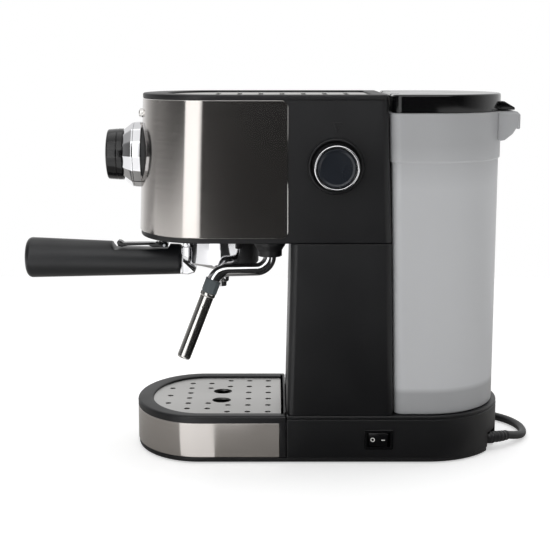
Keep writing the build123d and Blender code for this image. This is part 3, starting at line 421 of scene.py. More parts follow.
# %% Metals
def brushed(name, colour, roughness, line_mm=0.35, length_mm=60.0, across="z", anisotropy=0.5, contrast=0.12):
    """Metal brushed in straight lines: a noise stretched along the lines and fine across them.

    The tangent runs level round the machine as the lines do, and a quarter turn of the anisotropy spreads
    highlights up and down, across the lines.
    """
    material, tree, shader = new_finish(name, Metallic=1.0, Anisotropic=anisotropy, Anisotropic_Rotation=0.25)
    level = add(tree, "ShaderNodeTangent", direction_type="RADIAL", axis="Z")
    tree.links.new(level.outputs["Tangent"], shader.inputs["Tangent"])
    here = add(tree, "ShaderNodeTexCoord")
    long_scale, fine_scale = cycles_per_metre(length_mm), cycles_per_metre(line_mm)
    scale = [fine_scale if axis in across else long_scale for axis in "xyz"]
    stretch = add(tree, "ShaderNodeMapping", {"Vector": (here, "Object"), "Scale": scale})
    lines = add(tree, "ShaderNodeTexNoise", {"Vector": (stretch, "Vector"), "Scale": 1.0, "Detail": 3.0,
                                             "Roughness": 0.65})
    gloss = add(tree, "ShaderNodeMapRange", {"Value": (lines, "Fac"), "From Min": 0.25, "From Max": 0.75,
                                             "To Min": roughness - 0.025, "To Max": roughness + 0.03})
    light, dark = linear(colour), [(1 - 2 * contrast) * c for c in linear(colour)[:3]] + [1.0]
    tint = add(tree, "ShaderNodeMix", {"Factor": (lines, "Fac"), 6: dark, 7: light}, data_type="RGBA")
    tree.links.new(tint.outputs[2], shader.inputs["Base Color"])
    tree.links.new(gloss.outputs["Result"], shader.inputs["Roughness"])
    return material


def polished(name, colour, roughness, haze_mm=18.0):
    """Polished or plated metal: nearly a mirror, its gloss varied by faint smears some millimetres across."""
    material, tree, shader = new_finish(name, Base_Color=linear(colour), Metallic=1.0)
    here = add(tree, "ShaderNodeTexCoord")
    haze = add(tree, "ShaderNodeTexNoise", {"Vector": (here, "Object"), "Scale": cycles_per_metre(haze_mm),
                                            "Detail": 5.0})
    gloss = add(tree, "ShaderNodeMapRange", {"Value": (haze, "Fac"), "From Min": 0.3, "From Max": 0.7,
                                             "To Min": roughness * 0.6, "To Max": roughness * 1.5})
    tree.links.new(gloss.outputs["Result"], shader.inputs["Roughness"])
    return material


brushed_wrap = brushed("brushed_stainless_level", "#cbc6c2", 0.145, anisotropy=0.7)
brushed_plate = brushed("brushed_stainless_plate", "#c4c3c1", 0.38, across="x", length_mm=90, anisotropy=0.3)
chrome_plate = polished("chrome_plate", "#dcdcde", 0.06)
polished_steel = polished("polished_stainless", "#cfcdca", 0.13)
cast_aluminium = moulded("cast_aluminium", "#a3a4a6", 0.5, grain_mm=1.2, depth_mm=0.06, ior=1.5, metallic=1.0)
brass = polished("machined_brass", "#c9a45c", 0.22)
zinc_plate = polished("zinc_plated_steel", "#a9abae", 0.3)

# %% [markdown]
# **Frosted tank plastic.** The tank is clear SAN blasted on the outside, so it lets light through but no picture.
# Light enters, scatters and leaves again, which a little transmission with high roughness gives. Below the tank's
# floor there is only a hollow skirt, and that part and a band under the rim are painted slightly darker as painted
# shade. Rubber and silicone are soft and nearly matt, and the cord's PVC sheath has a low sheen with fine marks
# along it.

# %% Frosted plastic, rubber and cord
def frosted(name, colour, floor_mm, rim_mm):
    """Blasted translucent plastic with painted shade: a little darker below the tank's floor and in the wider band
    under its rim.
    """
    material, tree, shader = new_finish(name, IOR=1.57, Transmission_Weight=0.16, Subsurface_Weight=0.25)
    shader.inputs["Subsurface Radius"].default_value = (0.006, 0.006, 0.006)
    here = add(tree, "ShaderNodeTexCoord")
    axes = add(tree, "ShaderNodeSeparateXYZ", {"Vector": (here, "Object")})
    # Painted shade mask: 0 below the tank's floor, 1 above it.
    level = add(tree, "ShaderNodeMapRange", {"Value": (axes, "Z"), "From Min": (floor_mm - 3) / 1000,
                                             "From Max": (floor_mm + 1.5) / 1000})
    cloud = add(tree, "ShaderNodeTexNoise", {"Vector": (here, "Object"), "Scale": cycles_per_metre(70),
                                             "Detail": 3.0})
    blast = add(tree, "ShaderNodeTexNoise", {"Vector": (here, "Object"), "Scale": cycles_per_metre(0.45),
                                             "Detail": 2.0})
    # Painted shade: the colour is scaled to 0.66 below the tank's floor and to 0.78 in the band under its rim.
    light, dark, rim = ([share * c for c in linear(colour)[:3]] + [1.0] for share in (1.0, 0.66, 0.78))
    painted_floor_shade = add(tree, "ShaderNodeMix", {"Factor": (level, "Result"), 6: dark, 7: light}, data_type="RGBA")
    rim_shade_mask = add(tree, "ShaderNodeMapRange", {"Value": (axes, "Z"), "From Min": (rim_mm - 25) / 1000,
                                            "From Max": (rim_mm + 10) / 1000})
    tint = add(tree, "ShaderNodeMix", {"Factor": (rim_shade_mask, "Result"), 6: (painted_floor_shade, 2), 7: rim}, data_type="RGBA")
    gloss = add(tree, "ShaderNodeMapRange", {"Value": (cloud, "Fac"), "From Min": 0.3, "From Max": 0.7,
                                             "To Min": 0.42, "To Max": 0.52})
    bump = add(tree, "ShaderNodeBump", {"Height": (blast, "Fac"), "Strength": 0.4, "Distance": 0.00002})
    tree.links.new(tint.outputs[2], shader.inputs["Base Color"])
    tree.links.new(gloss.outputs["Result"], shader.inputs["Roughness"])
    tree.links.new(bump.outputs["Normal"], shader.inputs["Normal"])
    return material


# 61 mm and 250 mm set where the painted shade below the floor and under the rim lies.
frosted_san = frosted("frosted_san", "#c6c7c9", 61.0, 250.0)
matt_rubber = moulded("matt_black_rubber", "#18181a", 0.72, grain_mm=0.8, depth_mm=0.05)
grey_silicone = moulded("dark_grey_silicone", "#4a5154", 0.55, grain_mm=0.8, depth_mm=0.03)
clear_silicone = moulded("milky_silicone_hose", "#c9c7c0", 0.45)
pvc_sheath = moulded("black_pvc_sheath", "#141416", 0.42, grain_mm=1.0, depth_mm=0.03)
print_white = moulded("white_pad_print", "#e6e6e3", 0.5)

FINISH_OF_SLOT = {
    "matte_black": satin_black_abs, "gloss_black": polished_black_abs, "brushed_steel": brushed_plate,
    "chrome": chrome_plate, "frosted_tank": frosted_san, "black_rubber": matt_rubber,
    "grey_silicone": grey_silicone, "hose_silicone": clear_silicone, "cord_pvc": pvc_sheath,
    "cast_aluminium": cast_aluminium, "brass": brass,
    "zinc_steel": zinc_plate, "board_green": board_green, "white_plastic": nylon_white,
}
print("finishes", len(bpy.data.materials))


# %% [markdown]
# Every new piece then needs the same four facts: its finish, the body it moves with, the CAD pieces it stands
# for, and the record's material slot. One function says them all.

# %% Dress a piece
def dress(piece, material, body, slot, *stands_for):
    """Gives a piece its finish, lets it ride on a body, and hides the CAD nodes it stands for. The slot is not used.
    """
    piece.data.materials.clear()
    piece.data.materials.append(material)
    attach(piece, body)
    if stands_for:
        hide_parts(*stands_for)
    return piece


def told(*pieces):
    """What pieces are, to print: their names and sizes in millimetres along x, y and z."""
    return [f"{piece.name} {' x '.join(f'{1000 * side:.1f}' for side in piece.dimensions)}" for piece in pieces]


for row in frame["record"]["subparts"]:
    node = frame["nodes"][row["node"]]
    node.data.materials.clear()
    node.data.materials.append(FINISH_OF_SLOT[row["material_slot"]])

# %% [markdown]
# ## The base and the column
# The base is a low black moulding with a softly rounded top edge and a fine shadow line just under it. It stands
# on a thin pan. The column above it leans: its front and rear walls both spread towards the foot, which is
# done by giving the ring a different front and rear at each height.

# %% Base shell and pan
BASE = dict(half=71.0, front=9.3, rear=191.5, rear_depth=66.5, corner=1.2)
base_profile = rounded([(14, 4.6), (0, 4.6), (0, 36.4), (0.7, 36.8), (0.7, 37.4), (0.2, 37.8), (0.2, 40),
                        (14, 40)],
                       [0.5, 0.3, 0.2, 0.2, 0.3, 1.6])
base = outward(grid_piece("base_case", stacked(base_profile, BASE)))
SWITCH_Y, SWITCH_Z = 85.0, 20.4
CORD_NOTCH = (20, 176, 0), (41, 200, 17)
switch_opening = box_cutter((57, SWITCH_Y - 10.5, SWITCH_Z - 7.2), (80, SWITCH_Y + 10.5, SWITCH_Z + 7.2))
cut(base, switch_opening, box_cutter(*CORD_NOTCH))
dress(base, satin_black_abs, "root", "matte_black", "base_shell")

PAN = dict(half=70.4, front=-118.1, rear=190.9, front_depth=55.4, rear_depth=65.9)
pan_profile = rounded([(12, 1.0), (0, 1.0), (0, 4.5), (12, 4.5)], [0.8, 0.3])
pan = outward(grid_piece("base_foot_pan", stacked(pan_profile, PAN)))
cut(pan, box_cutter(*CORD_NOTCH))
dress(pan, satin_black_abs, "root", "matte_black", "base_pan")
print(*told(base, pan), sep="; ")

# %% [markdown]
# The column is hollow like the base, and only its outside shows. Its plan is worked out from the height, so its
# leaning walls need no separate shape.

# %% Column
COLUMN_LOW, COLUMN_HIGH = 40.0, 182.0


def leaning(z):
    """The column's plan at a height: front and rear move in a straight line from foot to top."""
    share = (z - COLUMN_LOW) / (COLUMN_HIGH - COLUMN_LOW)
    return dict(half=70.0, front=9.6 + 3.2 * share, rear=97.0 - 3.4 * share, corner=6.0)


column_profile = rounded([(12, COLUMN_LOW + 0.05), (0, COLUMN_LOW + 0.05), (0, COLUMN_HIGH - 0.1),
                          (12, COLUMN_HIGH - 0.1)], [0.5, 0.5])
column = outward(grid_piece("column_case", stacked(column_profile, leaning)))
dress(column, satin_black_abs, "root", "matte_black", "column_housing")
print(*told(column))

# %% [markdown]
# ## The head
# The head is one black moulding. A brushed steel sheet is wrapped round its front and glued on, and its rear
# corners are rounded. The sheet is a strip: its cross-section runs round a thin rectangle, and near each
# end the strip's height shrinks along a quarter circle, which rounds the corners without any cutting.

# %% Head case
HEAD_LOW, HEAD_HIGH = 182.0, 296.0


def head_plan(z):
    """The head's plan at a height: its front leans forward and its rear leans back towards the bottom."""
    share = (z - HEAD_LOW) / (HEAD_HIGH - HEAD_LOW)
    return dict(half=70.0, front=-113.4 + 4.2 * share, rear=93.6 - 4.5 * share, front_depth=54.5, corner=6.0)


head_profile = rounded([(16, HEAD_LOW + 0.1), (0, HEAD_LOW + 0.1), (0, HEAD_HIGH), (16, HEAD_HIGH)], [1.6, 0.3])
head = outward(grid_piece("head_case", stacked(head_profile, head_plan)))
BUTTON_Z = 283.4
BUTTONS = {"button_left": -15.0, "button_middle": 0.0, "button_right": 15.0}
HOLE_RADIUS = 3.7
group_bore = rod_cutter((0, -44, 180), (0, 0, 1), 36.1, 25)


def button_holes():
    """New cutters for the three button holes, because a cut uses its cutters up."""
    return [rod_cutter((x, -125, BUTTON_Z), (0, 1, 0), HOLE_RADIUS, 24) for x in BUTTONS.values()]


cut(head, group_bore, *button_holes())
dress(head, satin_black_abs, "root", "matte_black", "head_housing")
print(*told(head))

# %% [markdown]
# The sheet of the head and the band of the tray are the same work: a strip bent round a half-ellipse. Its edges
# are ground to a narrow bevel and polished, and that line of light is what shows that it is a separate sheet.

# %% Steel sheets wrapped round a half-ellipse front
def wrapped(name, plan_at, low, high, end_y, thickness, corner, edge, holes=()):
    """A steel strip round the front of a plan, from one side's end to the other, as rings of its section.

    With d the distance from the strip's nearer end, the strip is drawn in from its top and bottom by
    corner - sqrt(corner^2 - (corner - d)^2), and thinned by edge - d where d is under the edge's width.
    """
    near = np.array([0.0, 0.05, 0.2, 0.4, 0.7, 1.1, 1.7, 2.5, 3.5, 4.5, 5.5, 12.0, 30.0])
    turn = np.linspace(0, math.pi, 121)[1:-1]
    strips = []
    section = ((0, low, 0), (1, low, 0), (2, low, edge), (2, high, -edge), (1, high, 0), (0, high, 0))
    for out, level, inward in section:
        plan = plan_at(level)
        straight = end_y - plan["front"] - plan["front_depth"]
        distance = np.append(near[near < straight - 1], straight)
        d = np.concatenate([distance, np.full(len(turn), 1e3), distance[::-1]])
        reach = np.clip(corner - d, 0, corner)
        drawn = corner - np.sqrt(corner ** 2 - reach ** 2)
        thick = thickness - np.clip(edge - d, 0, edge)
        offset = (np.zeros_like(d), np.maximum(thick - edge, 0.05), thick)[out]
        across = np.concatenate([np.full(len(distance), -1.0), -np.cos(turn), np.full(len(distance), 1.0)])
        front_y = end_y - straight - np.sin(turn) * (plan["front_depth"] + offset[len(distance):-len(distance)])
        y = np.concatenate([end_y - distance, front_y, (end_y - distance)[::-1]])
        z = level + inward + (drawn if level == low else -drawn)
        strips.append(np.stack([across * (plan["half"] + offset), y, z], axis=1))
    piece = outward(grid_piece(name, np.stack(strips, axis=1)))
    if holes:
        cut(piece, *holes)
    return piece


def polished_rim(piece, finish, outward_most=0.97, least_tilt=0.3, most_tilt=0.9, behind_m=-0.02):
    """Gives the narrow bevels of a strip their own finish: faces whose normal is neither level nor upright.

    Behind behind_m the strip's own end is a bevel too: there a face counts if it doesn't look straight out.
    """
    piece.data.materials.append(finish)
    normals = np.empty(len(piece.data.polygons) * 3, np.float32)
    piece.data.polygons.foreach_get("normal", normals)
    normals = normals.reshape(-1, 3)
    centres = np.empty(len(piece.data.polygons) * 3, np.float32)
    piece.data.polygons.foreach_get("center", centres)
    tilt = np.abs(normals[:, 2])
    at_end = (np.abs(normals[:, 0]) < outward_most) & (centres.reshape(-1, 3)[:, 1] > behind_m)
    rim = ((tilt > least_tilt) | at_end) & (tilt < most_tilt)
    piece.data.polygons.foreach_set("material_index", rim.astype(np.int32))


wrap = wrapped("steel_head_wrap", head_plan, low=186.4, high=295.9, end_y=10.5, thickness=1.0, corner=5.5,
               edge=0.6, holes=button_holes())
dress(wrap, brushed_wrap, "root", "brushed_steel", "steel_wrap")
polished_rim(wrap, polished_steel)
print(*told(wrap))

# %% [markdown]
# The top cover overhangs the steel slightly, and a shallow well in it holds the cup plate. Because the well has
# the same kind of outline as the cover, its rim is just more rings of another plan.

# %% Top cover
COVER = dict(half=70.8, front=-110.0, rear=89.1, front_depth=55.3, corner=6.0)
WELL = dict(half=60.0, front=-90.0, rear=78.0, front_depth=48.0, corner=8.0)
cover_outside = rounded([(10, 296.05), (0, 296.05), (0, 300), (4, 300)], [0.3, 1.3])
cover_inside = rounded([(-3, 300), (0, 300), (0, 297.2), (10, 297.2)], [0.8, 0.4])
cover_rings = np.concatenate([stacked(cover_outside, COVER), stacked(cover_inside, WELL)])
cover = outward(grid_piece("top_cover_case", cover_rings))
dress(cover, satin_black_abs, "root", "matte_black", "top_cover")
print(*told(cover))

# %% [markdown]
# ## Dial, buttons and steam knob
# The front dial has three finishes: a polished black cap, a chrome skirt whose flats throw sharp patches of
# light and dark, and a black gasket ring behind it. All three are lathe work, and the skirt's flats come from
# the radius formula in lathe().

# %% Front dial
DIAL_Z = 248.4
FORWARD = (0, -1, 0)
gasket = lathe("dial_gasket", rounded([(0.05, 100.5), (28.45, 100.5), (28.45, 110.2), (0.05, 110.2)], [0.2, 0.6]),
               (0, 0, DIAL_Z), FORWARD)
dress(gasket, satin_black_abs, "root", "matte_black", "dial_bezel")
bezel_profile = rounded([(3.2, 110.25), (26.6, 110.25), (27.8, 111.2), (27.5, 117.5), (3.2, 117.5)],
                        [0.4, 0.4, 0.2])
bezel_ring = lathe("dial_chrome_bezel", bezel_profile, (0, 0, DIAL_Z), FORWARD, segments=140, facets=14)
dress(bezel_ring, chrome_plate, "root", "chrome")
skirt_profile = rounded([(3.2, 117.65), (27.0, 117.65), (27.3, 117.9), (27.3, 119.1), (21.4, 126.5), (3.2, 126.5)],
                        [0.1, 0.1, 0.3, 0.3], 3)
skirt = lathe("dial_chrome_skirt", skirt_profile, (0, 0, DIAL_Z), FORWARD, segments=140, facets=14)
dress(skirt, chrome_plate, "function_dial", "chrome", "dial_skirt")
cap_profile = rounded([(0.05, 126.6), (20.6, 126.6), (21.5, 127.4), (21.5, 131.4), (21.0, 131.9), (21.4, 132.5),
                       (20.8, 140.2), (14, 141.6), (0.05, 142.0)], [0.2, 0.4, 0.2, 0.2, 0.3, 1.4, 8.0])
cap = lathe("dial_cap_turned", cap_profile, (0, 0, DIAL_Z), FORWARD)
dress(cap, polished_black_abs, "function_dial", "gloss_black", "dial_cap")
tick = bar("dial_pointer", [(-0.55, 268.0), (0.55, 268.0), (0.55, 268.7), (-0.55, 268.7)], -138.6, -128.0,
           axis="y", edge=0.2, corner=0.2)
dress(tick, print_white, "function_dial", "white_plastic")
print(*told(gasket, bezel_ring, skirt, cap), sep="; ")

# %% [markdown]
# The three push buttons are small turned steel caps, each on its own sprung stem. How far one stands out is read
# from the CAD model, so that its cap fits the hole at rest.

# %% Push buttons
button_profile = rounded([(0.05, 0), (2.4, 0), (3.35, 0.8), (3.35, 7.0), (2.0, 7.0), (2.0, 9.5), (0.05, 9.5)],
                         [0.6, 0.6, 0.1, 0.1, 0.1])
for name, x in BUTTONS.items():
    front = 1000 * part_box(name)[0].y - shift[1]
    button = lathe(f"{name}_cap", button_profile, (x, front, BUTTON_Z), (0, 1, 0), 48)
    dress(button, polished_steel, name, "chrome", name)
    print(*told(button))

# %% [markdown]
# The steam knob sits in a dished ring on the side. Its face is a slightly hollow black disc inside a thin
# chrome ring, and the side of the knob is ribbed so that a wet hand can turn it.

# %% Steam knob
KNOB_Y, KNOB_Z = 48.0, 244.2
OUT = (1, 0, 0)
KNOB = (0, KNOB_Y, KNOB_Z)
collar_profile = rounded([(8.2, 70.05), (22.5, 70.05), (22.5, 70.9), (21.4, 72.9), (20.2, 72.9), (18.6, 71.2),
                          (8.2, 71.0)], [0.1, 0.5, 0.6, 0.5, 1.2])
collar = lathe("steam_knob_dish", np.concatenate([collar_profile, collar_profile[:1]]), KNOB, OUT)
dress(collar, satin_black_abs, "root", "matte_black", "knob_collar")


def ribbed(name, profile, centre, direction, ribs, depth):
    """A turned body with narrow grooves: its radius dips by depth times the 8th power of a cosine.

    The third value of each profile point is the share of the groove's depth there, 0 or 1.
    """
    side, up, along = axes_for(direction)
    angle = np.linspace(0, 2 * math.pi, ribs * 8, endpoint=False)
    groove = depth * np.cos(ribs * angle / 2) ** 8
    profile = np.asarray(profile, float)
    share = profile[:, 2, None]
    radius = profile[:, 0, None] - share * groove[None]
    around = np.cos(angle)[:, None] * side + np.sin(angle)[:, None] * up
    rings = np.asarray(centre) + radius[..., None] * around[None] + profile[:, 1, None, None] * along
    return outward(grid_piece(name, rings))


knob_profile = [(0.05, 73.4, 0), (16.6, 73.4, 0), (17.5, 74.2, 0), (17.7, 75.4, 1), (17.7, 86.0, 1),
                (17.6, 87.0, 0), (17.3, 87.9, 0), (0.05, 87.9, 0)]
knob = ribbed("steam_knob_grip", knob_profile, KNOB, OUT, 36, 0.7)
dress(knob, satin_black_abs, "steam_knob", "matte_black", "steam_knob")
ring_profile = rounded([(15.4, 88.0), (17.6, 88.0), (17.7, 91.2), (16.0, 91.2), (15.9, 89.2), (15.4, 89.2),
                        (15.4, 88.0)], [0.1, 0.84, 0.84, 0.2, 0.1], 7)
knob_ring = lathe("steam_knob_chrome_ring", ring_profile, KNOB, OUT)
dress(knob_ring, chrome_plate, "steam_knob", "chrome", "knob_ring")
dish_profile = rounded([(0.05, 88.0), (15.3, 88.0), (15.3, 90.0), (14.75, 91.6), (14.0, 91.6), (12.6, 90.9),
                        (0.05, 90.3)], [0.2, 0.4, 0.4, 0.5, 1.0])
knob_dish = lathe("steam_knob_face", dish_profile, KNOB, OUT)
dress(knob_dish, dished_black_cap, "steam_knob", "gloss_black", "knob_cap")
MARK_Y = KNOB_Y + 1.2
wedge = bar("steam_mark", [(MARK_Y - 4.2, 278.5), (MARK_Y + 4.2, 278.5), (MARK_Y, 270.6)], 69.6, 70.35,
            edge=0.15, corner=0.5)
inner_wedge = bar("cutter", [(MARK_Y - 2.6, 277.6), (MARK_Y + 2.6, 277.6), (MARK_Y, 272.6)], 69, 71,
                  edge=0.1, corner=0.2)
cut(wedge, inner_wedge)
dress(wedge, satin_black_abs, "root", "matte_black")
print(*told(collar, knob, knob_ring, knob_dish, wedge), sep="; ")

# %% [markdown]
# ## The water tank and its lid
# The tank is one thin shell. Its rings start under the floor, go down the inside of the skirt, up the outside
# past a small step near the top, over the rim and down the inside to the floor, so a single closed surface
# has true walls. Its lip at the rear is a hood that fingers hook under.

# %% Tank shell
SIDES = {"left": -1, "right": 1}
TANK_LOW, TANK_RIM = 40.5, 285.5


def tank_plan(z):
    """The tank's plan at a height: only its front wall leans."""
    share = (z - TANK_LOW) / (TANK_RIM - TANK_LOW)
    return dict(half=67.0, front=97.7 - 5.7 * share, rear=187.2, rear_depth=62.0, corner=8.0)


tank_profile = rounded([(12, 58.6), (2.2, 58.6), (2.2, 40.5), (0, 40.5), (0, 246.2), (-1.3, 247.6), (-1.3, 285.5),
                        (0.9, 285.5), (0.9, 249), (2.2, 247), (2.2, 61.0), (14, 61.0)],
                       [0.5, 0.6, 1.0, 0.8, 0.6, 0.9, 0.7, 1.0, 1.0, 3.0])
tank = outward(grid_piece("tank_case", stacked(tank_profile, tank_plan)))
dress(tank, frosted_san, "water_tank", "frosted_tank", "tank_shell")
hood = bar("tank_lip", [(181.0, 285.4), (197.6, 285.4), (200.4, 282.6), (200.4, 271.0), (198.0, 271.0),
                        (198.0, 281.4), (196.4, 282.8), (181.0, 282.8)], -30, 30, edge=1.0, corner=1.1)
cut(hood, grid_piece("cutter", stacked([(0, 255), (0, 290)], tank_plan), smooth=False))
dress(hood, frosted_san, "water_tank", "frosted_tank")
HINGE_X = 40
for hand, side in SIDES.items():
    low_x, high_x = sorted((side * 27.2, side * 29.8))
    fin = bar(f"tank_lip_cheek_{hand}",
              [(182.2, 284.9), (198.6, 284.9), (200.2, 282.0), (200.2, 272.6), (197.0, 271.2), (194.4, 267.0),
               (188.0, 262.0), (182.2, 261.0)], low_x, high_x, edge=0.5, corner=2.2)
    dress(fin, frosted_san, "water_tank", "frosted_tank")
    ear = bar(f"hinge_ear_{hand}",
              [(93.0, 281.8), (99.0, 281.8), (99.3, 296.0), (97.8, 299.0), (95.0, 299.0), (93.5, 296.0)],
              side * HINGE_X - 3, side * HINGE_X + 3, edge=0.4, corner=1.0)
    dress(ear, frosted_san, "water_tank", "frosted_tank")
print(*told(tank, hood, fin, ear), sep="; ")

# %% [markdown]
# The lid is glossier than the case, because fingers and water touch it and a polished mould cleans more easily.
# It turns up about a pin at its front, so two slots leave room for the tank's hinge ears, and a tab at its rear
# gives a finger something to lift.

# %% Tank lid
LID = dict(half=68.3, front=92.6, rear=188.0, rear_depth=63.3, corner=8.0)
lid_profile = rounded([(16, 297.6), (2.4, 297.6), (2.4, 285.75), (0, 285.75), (0, 300), (16, 300)],
                      [1.0, 0.4, 0.5, 1.8])
lid = outward(grid_piece("tank_lid_case", stacked(lid_profile, LID)))
slots = [box_cutter((side * HINGE_X - 3.4, 90, 280), (side * HINGE_X + 3.4, 100, 302)) for side in SIDES.values()]
cut(lid, *slots)
dress(lid, polished_black_abs, "tank_lid", "matte_black", "tank_lid")
tab = bar("tank_lid_tab", [(180.0, 293.6), (188.0, 293.4), (196.6, 288.4), (196.9, 286.4), (180.0, 286.4)],
          -24, 24, edge=0.8, corner=1.0)
cut(tab, grid_piece("cutter", stacked([(1.2, 280), (1.2, 296)], LID), smooth=False))
dress(tab, polished_black_abs, "tank_lid", "matte_black")
print(*told(lid, tab), sep="; ")

# %% [markdown]
# ## The drip tray
# The tray is a black tub with a wide rounded rim. A thin steel band is let into its side, and the perforated
# steel plate lies on a ledge inside the rim. The tub's rings run from its underside up the outside, over the rim,
# down to the ledge and on to the floor.

# %% Drip tray
TRAY = dict(half=71.0, front=-118.7, rear=9.0, front_depth=56.0, corner=1.2)
SEAT = dict(half=60.0, front=-105.7, rear=5.7, front_depth=45.0, corner=3.0)
TUB = dict(half=57.0, front=-102.7, rear=2.7, front_depth=42.0, corner=3.0)
tray_outside = rounded([(20, 5.0), (1.0, 5.0), (1.0, 33.6), (0.0, 34.2), (0.0, 40.0), (4.0, 40.0)],
                       [0.6, 0.1, 0.2, 2.2])
tray_seat = rounded([(-3.0, 40.0), (0, 39.6), (0, 36.0), (2.0, 36.0)], [0.8, 0.2])
tray_inside = rounded([(-0.5, 36.0), (0, 36.0), (0, 7.4), (10, 7.4)], [0.4, 2.0])
tray_rings = np.concatenate([stacked(tray_outside, TRAY), stacked(tray_seat, SEAT), stacked(tray_inside, TUB)])
tray = outward(grid_piece("drip_tray_tub", tray_rings))
dress(tray, satin_black_abs, "drip_tray", "matte_black", "tray_body")
for hand, side in SIDES.items():
    low_x, high_x = sorted((side * 69.0, side * 71.0))
    cheek = bar(f"tray_cheek_{hand}", [(4.0, 5.3), (8.9, 5.3), (8.9, 34.4), (4.0, 34.4)],
                low_x, high_x, edge=0.2, corner=0.3)
    dress(cheek, satin_black_abs, "drip_tray", "matte_black")


def band_plan(z):
    """The tray under its steel band: the same plan at every height."""
    return dict(half=70.0, front=-117.7, front_depth=55.0)


band = wrapped("tray_steel_band", band_plan, low=5.2, high=33.9, end_y=3.7, thickness=1.0, corner=1.0, edge=0.25)
dress(band, brushed_wrap, "drip_tray", "brushed_steel", "tray_band")
print(*told(tray, cheek, band), sep="; ")

# %% [markdown]
# ## The portafilter
# The bowl is chromed brass, turned and then polished. Its handle is black plastic: round and full where the hand
# holds it, then it steps down to a flatter neck that carries the basket clip. The handle is one surface whose
# top and bottom lines are written as smooth steps along its length.

# %% Handle as a surface with a stepped top line
def smooth_step(value, start, end):
    """0 before start, 1 after end, and 3 t^2 - 2 t^3 between them."""
    t = np.clip((value - start) / (end - start), 0, 1)
    return t * t * (3 - 2 * t)


def handle_surface(name, near, far, stations=120, segments=72):
    """Circular sections along Y, cut off level above a deck line where the clip lies.

    A circle's height z and the deck's height w meet in the smooth lower bound (z + w - sqrt((z - w)^2 + 0.7)) / 2.
    The far end is closed by a quarter of an ellipse, 5 mm deep and a third of the radius high.
    """
    y = np.concatenate([near + (far + 5 - near) * np.linspace(0, 1, stations),
                        far + 5 - 5 * np.sin(np.linspace(0, math.pi / 2, 10)[1:])])
    radius = np.interp(-y, [79.7, 139.0, 207.0], [12.85, 14.9, 17.2])
    centre = np.interp(-y, [79.7, 207.0], [158.85, 160.4])
    end = np.clip((far + 5 - y) / 5, 0, 1)
    radius = radius * (1 - 0.34 * (1 - np.sqrt(1 - end ** 2))) * (1 - 0.06 * np.clip(1 - (near - y) / 1.2, 0, 1))
    deck = 168.6 + 12.0 * smooth_step(-y, 136.4, 141.0) + 8.0 * smooth_step(y, -91.5, -87.5)
    angle = np.linspace(0, 2 * math.pi, segments, endpoint=False)
    x = radius[:, None] * np.cos(angle)
    z = centre[:, None] + radius[:, None] * np.sin(angle)
    level = np.broadcast_to(deck[:, None], z.shape)
    z = (z + level - np.sqrt((z - level) ** 2 + 0.7)) / 2
    return outward(grid_piece(name, np.stack([x, np.broadcast_to(y[:, None], x.shape), z], axis=-1)))


handle = handle_surface("portafilter_grip", -79.8, -211.9)
dress(handle, soft_black_abs, "portafilter", "matte_black", "portafilter_handle")
print(*told(handle))

# %% [markdown]
# The bowl, the neck that joins it to the handle and the double spout are all chromed. The turned parts come from
# the lathe function, and the cast neck and its thumb stop are flat outlines with a thickness and soft edges.

# %% Bowl, neck and spout
BOWL_Y = -44.0
UP = (0, 0, 1)
bowl_profile = rounded([(0.05, 150.0), (9.5, 150.0), (29.8, 156.6), (30.35, 158.2), (30.35, 188.0), (27.2, 188.0),
                        (27.2, 160.5), (5, 153.6), (0.05, 153.6)], [1.0, 1.2, 1.0, 0.4, 0.4, 1.0, 1.0])
bowl = lathe("portafilter_cup", bowl_profile, (0, BOWL_Y, 0), UP, 128)
dress(bowl, chrome_plate, "portafilter", "chrome", "portafilter_bowl")
for name, outline, half in (
    ("portafilter_neck", [(-80.6, 161.0), (-77.0, 159.6), (-71.0, 155.8), (-66.5, 152.5), (-68.4, 148.6),
                          (-73.8, 146.9), (-80.6, 147.6)], 10.0),
    ("portafilter_ferrule", [(-79.6, 148.0), (-77.9, 148.0), (-77.9, 170.2), (-79.6, 170.2)], 10.5),
    ("portafilter_stop", [(-78.2, 169.4), (-73.4, 169.4), (-73.4, 175.2), (-76.2, 175.2), (-78.2, 172.6)], 6.0),
):
    piece = bar(name, outline, -half, half, edge=1.0, corner=1.0)
    dress(piece, chrome_plate, "portafilter", "chrome")
spout_body = bar("spout_body", [(-12.9, -52.2), (12.9, -52.2), (12.9, -39.0), (-12.9, -39.0)], 141.0, 147.4,
                 axis="z", edge=1.4, corner=5.0)
dress(spout_body, chrome_plate, "portafilter", "chrome", "portafilter_spout")
SPOUT_Y = -45.6
spout_neck = lathe("spout_neck", rounded([(0.05, 146), (6.2, 146), (6.2, 149), (7.4, 150.4), (0.05, 150.4)], 0.3),
                   (0, SPOUT_Y, 0), UP, 48)
dress(spout_neck, chrome_plate, "portafilter", "chrome")
nozzle_profile = rounded([(3.0, 144), (3.0, 137.1), (4.5, 137.1), (4.6, 141.6), (6.0, 143.0), (3.0, 144)],
                         [0.2, 0.5, 0.8, 0.4])
for hand, side in SIDES.items():
    spout_nozzle = lathe(f"spout_nozzle_{hand}", nozzle_profile, (side * 8.0, SPOUT_Y, 0), UP, 40)
    dress(spout_nozzle, chrome_plate, "portafilter", "chrome")
print(*told(bowl, spout_body, spout_neck, spout_nozzle), sep="; ")

# %% [markdown]
# The clip is one small moulded lever in the handle's flat. A thumb pushes its ribbed end down, so that the
# filter basket stays in the bowl while the used coffee is knocked out. It has one outline from end to end.

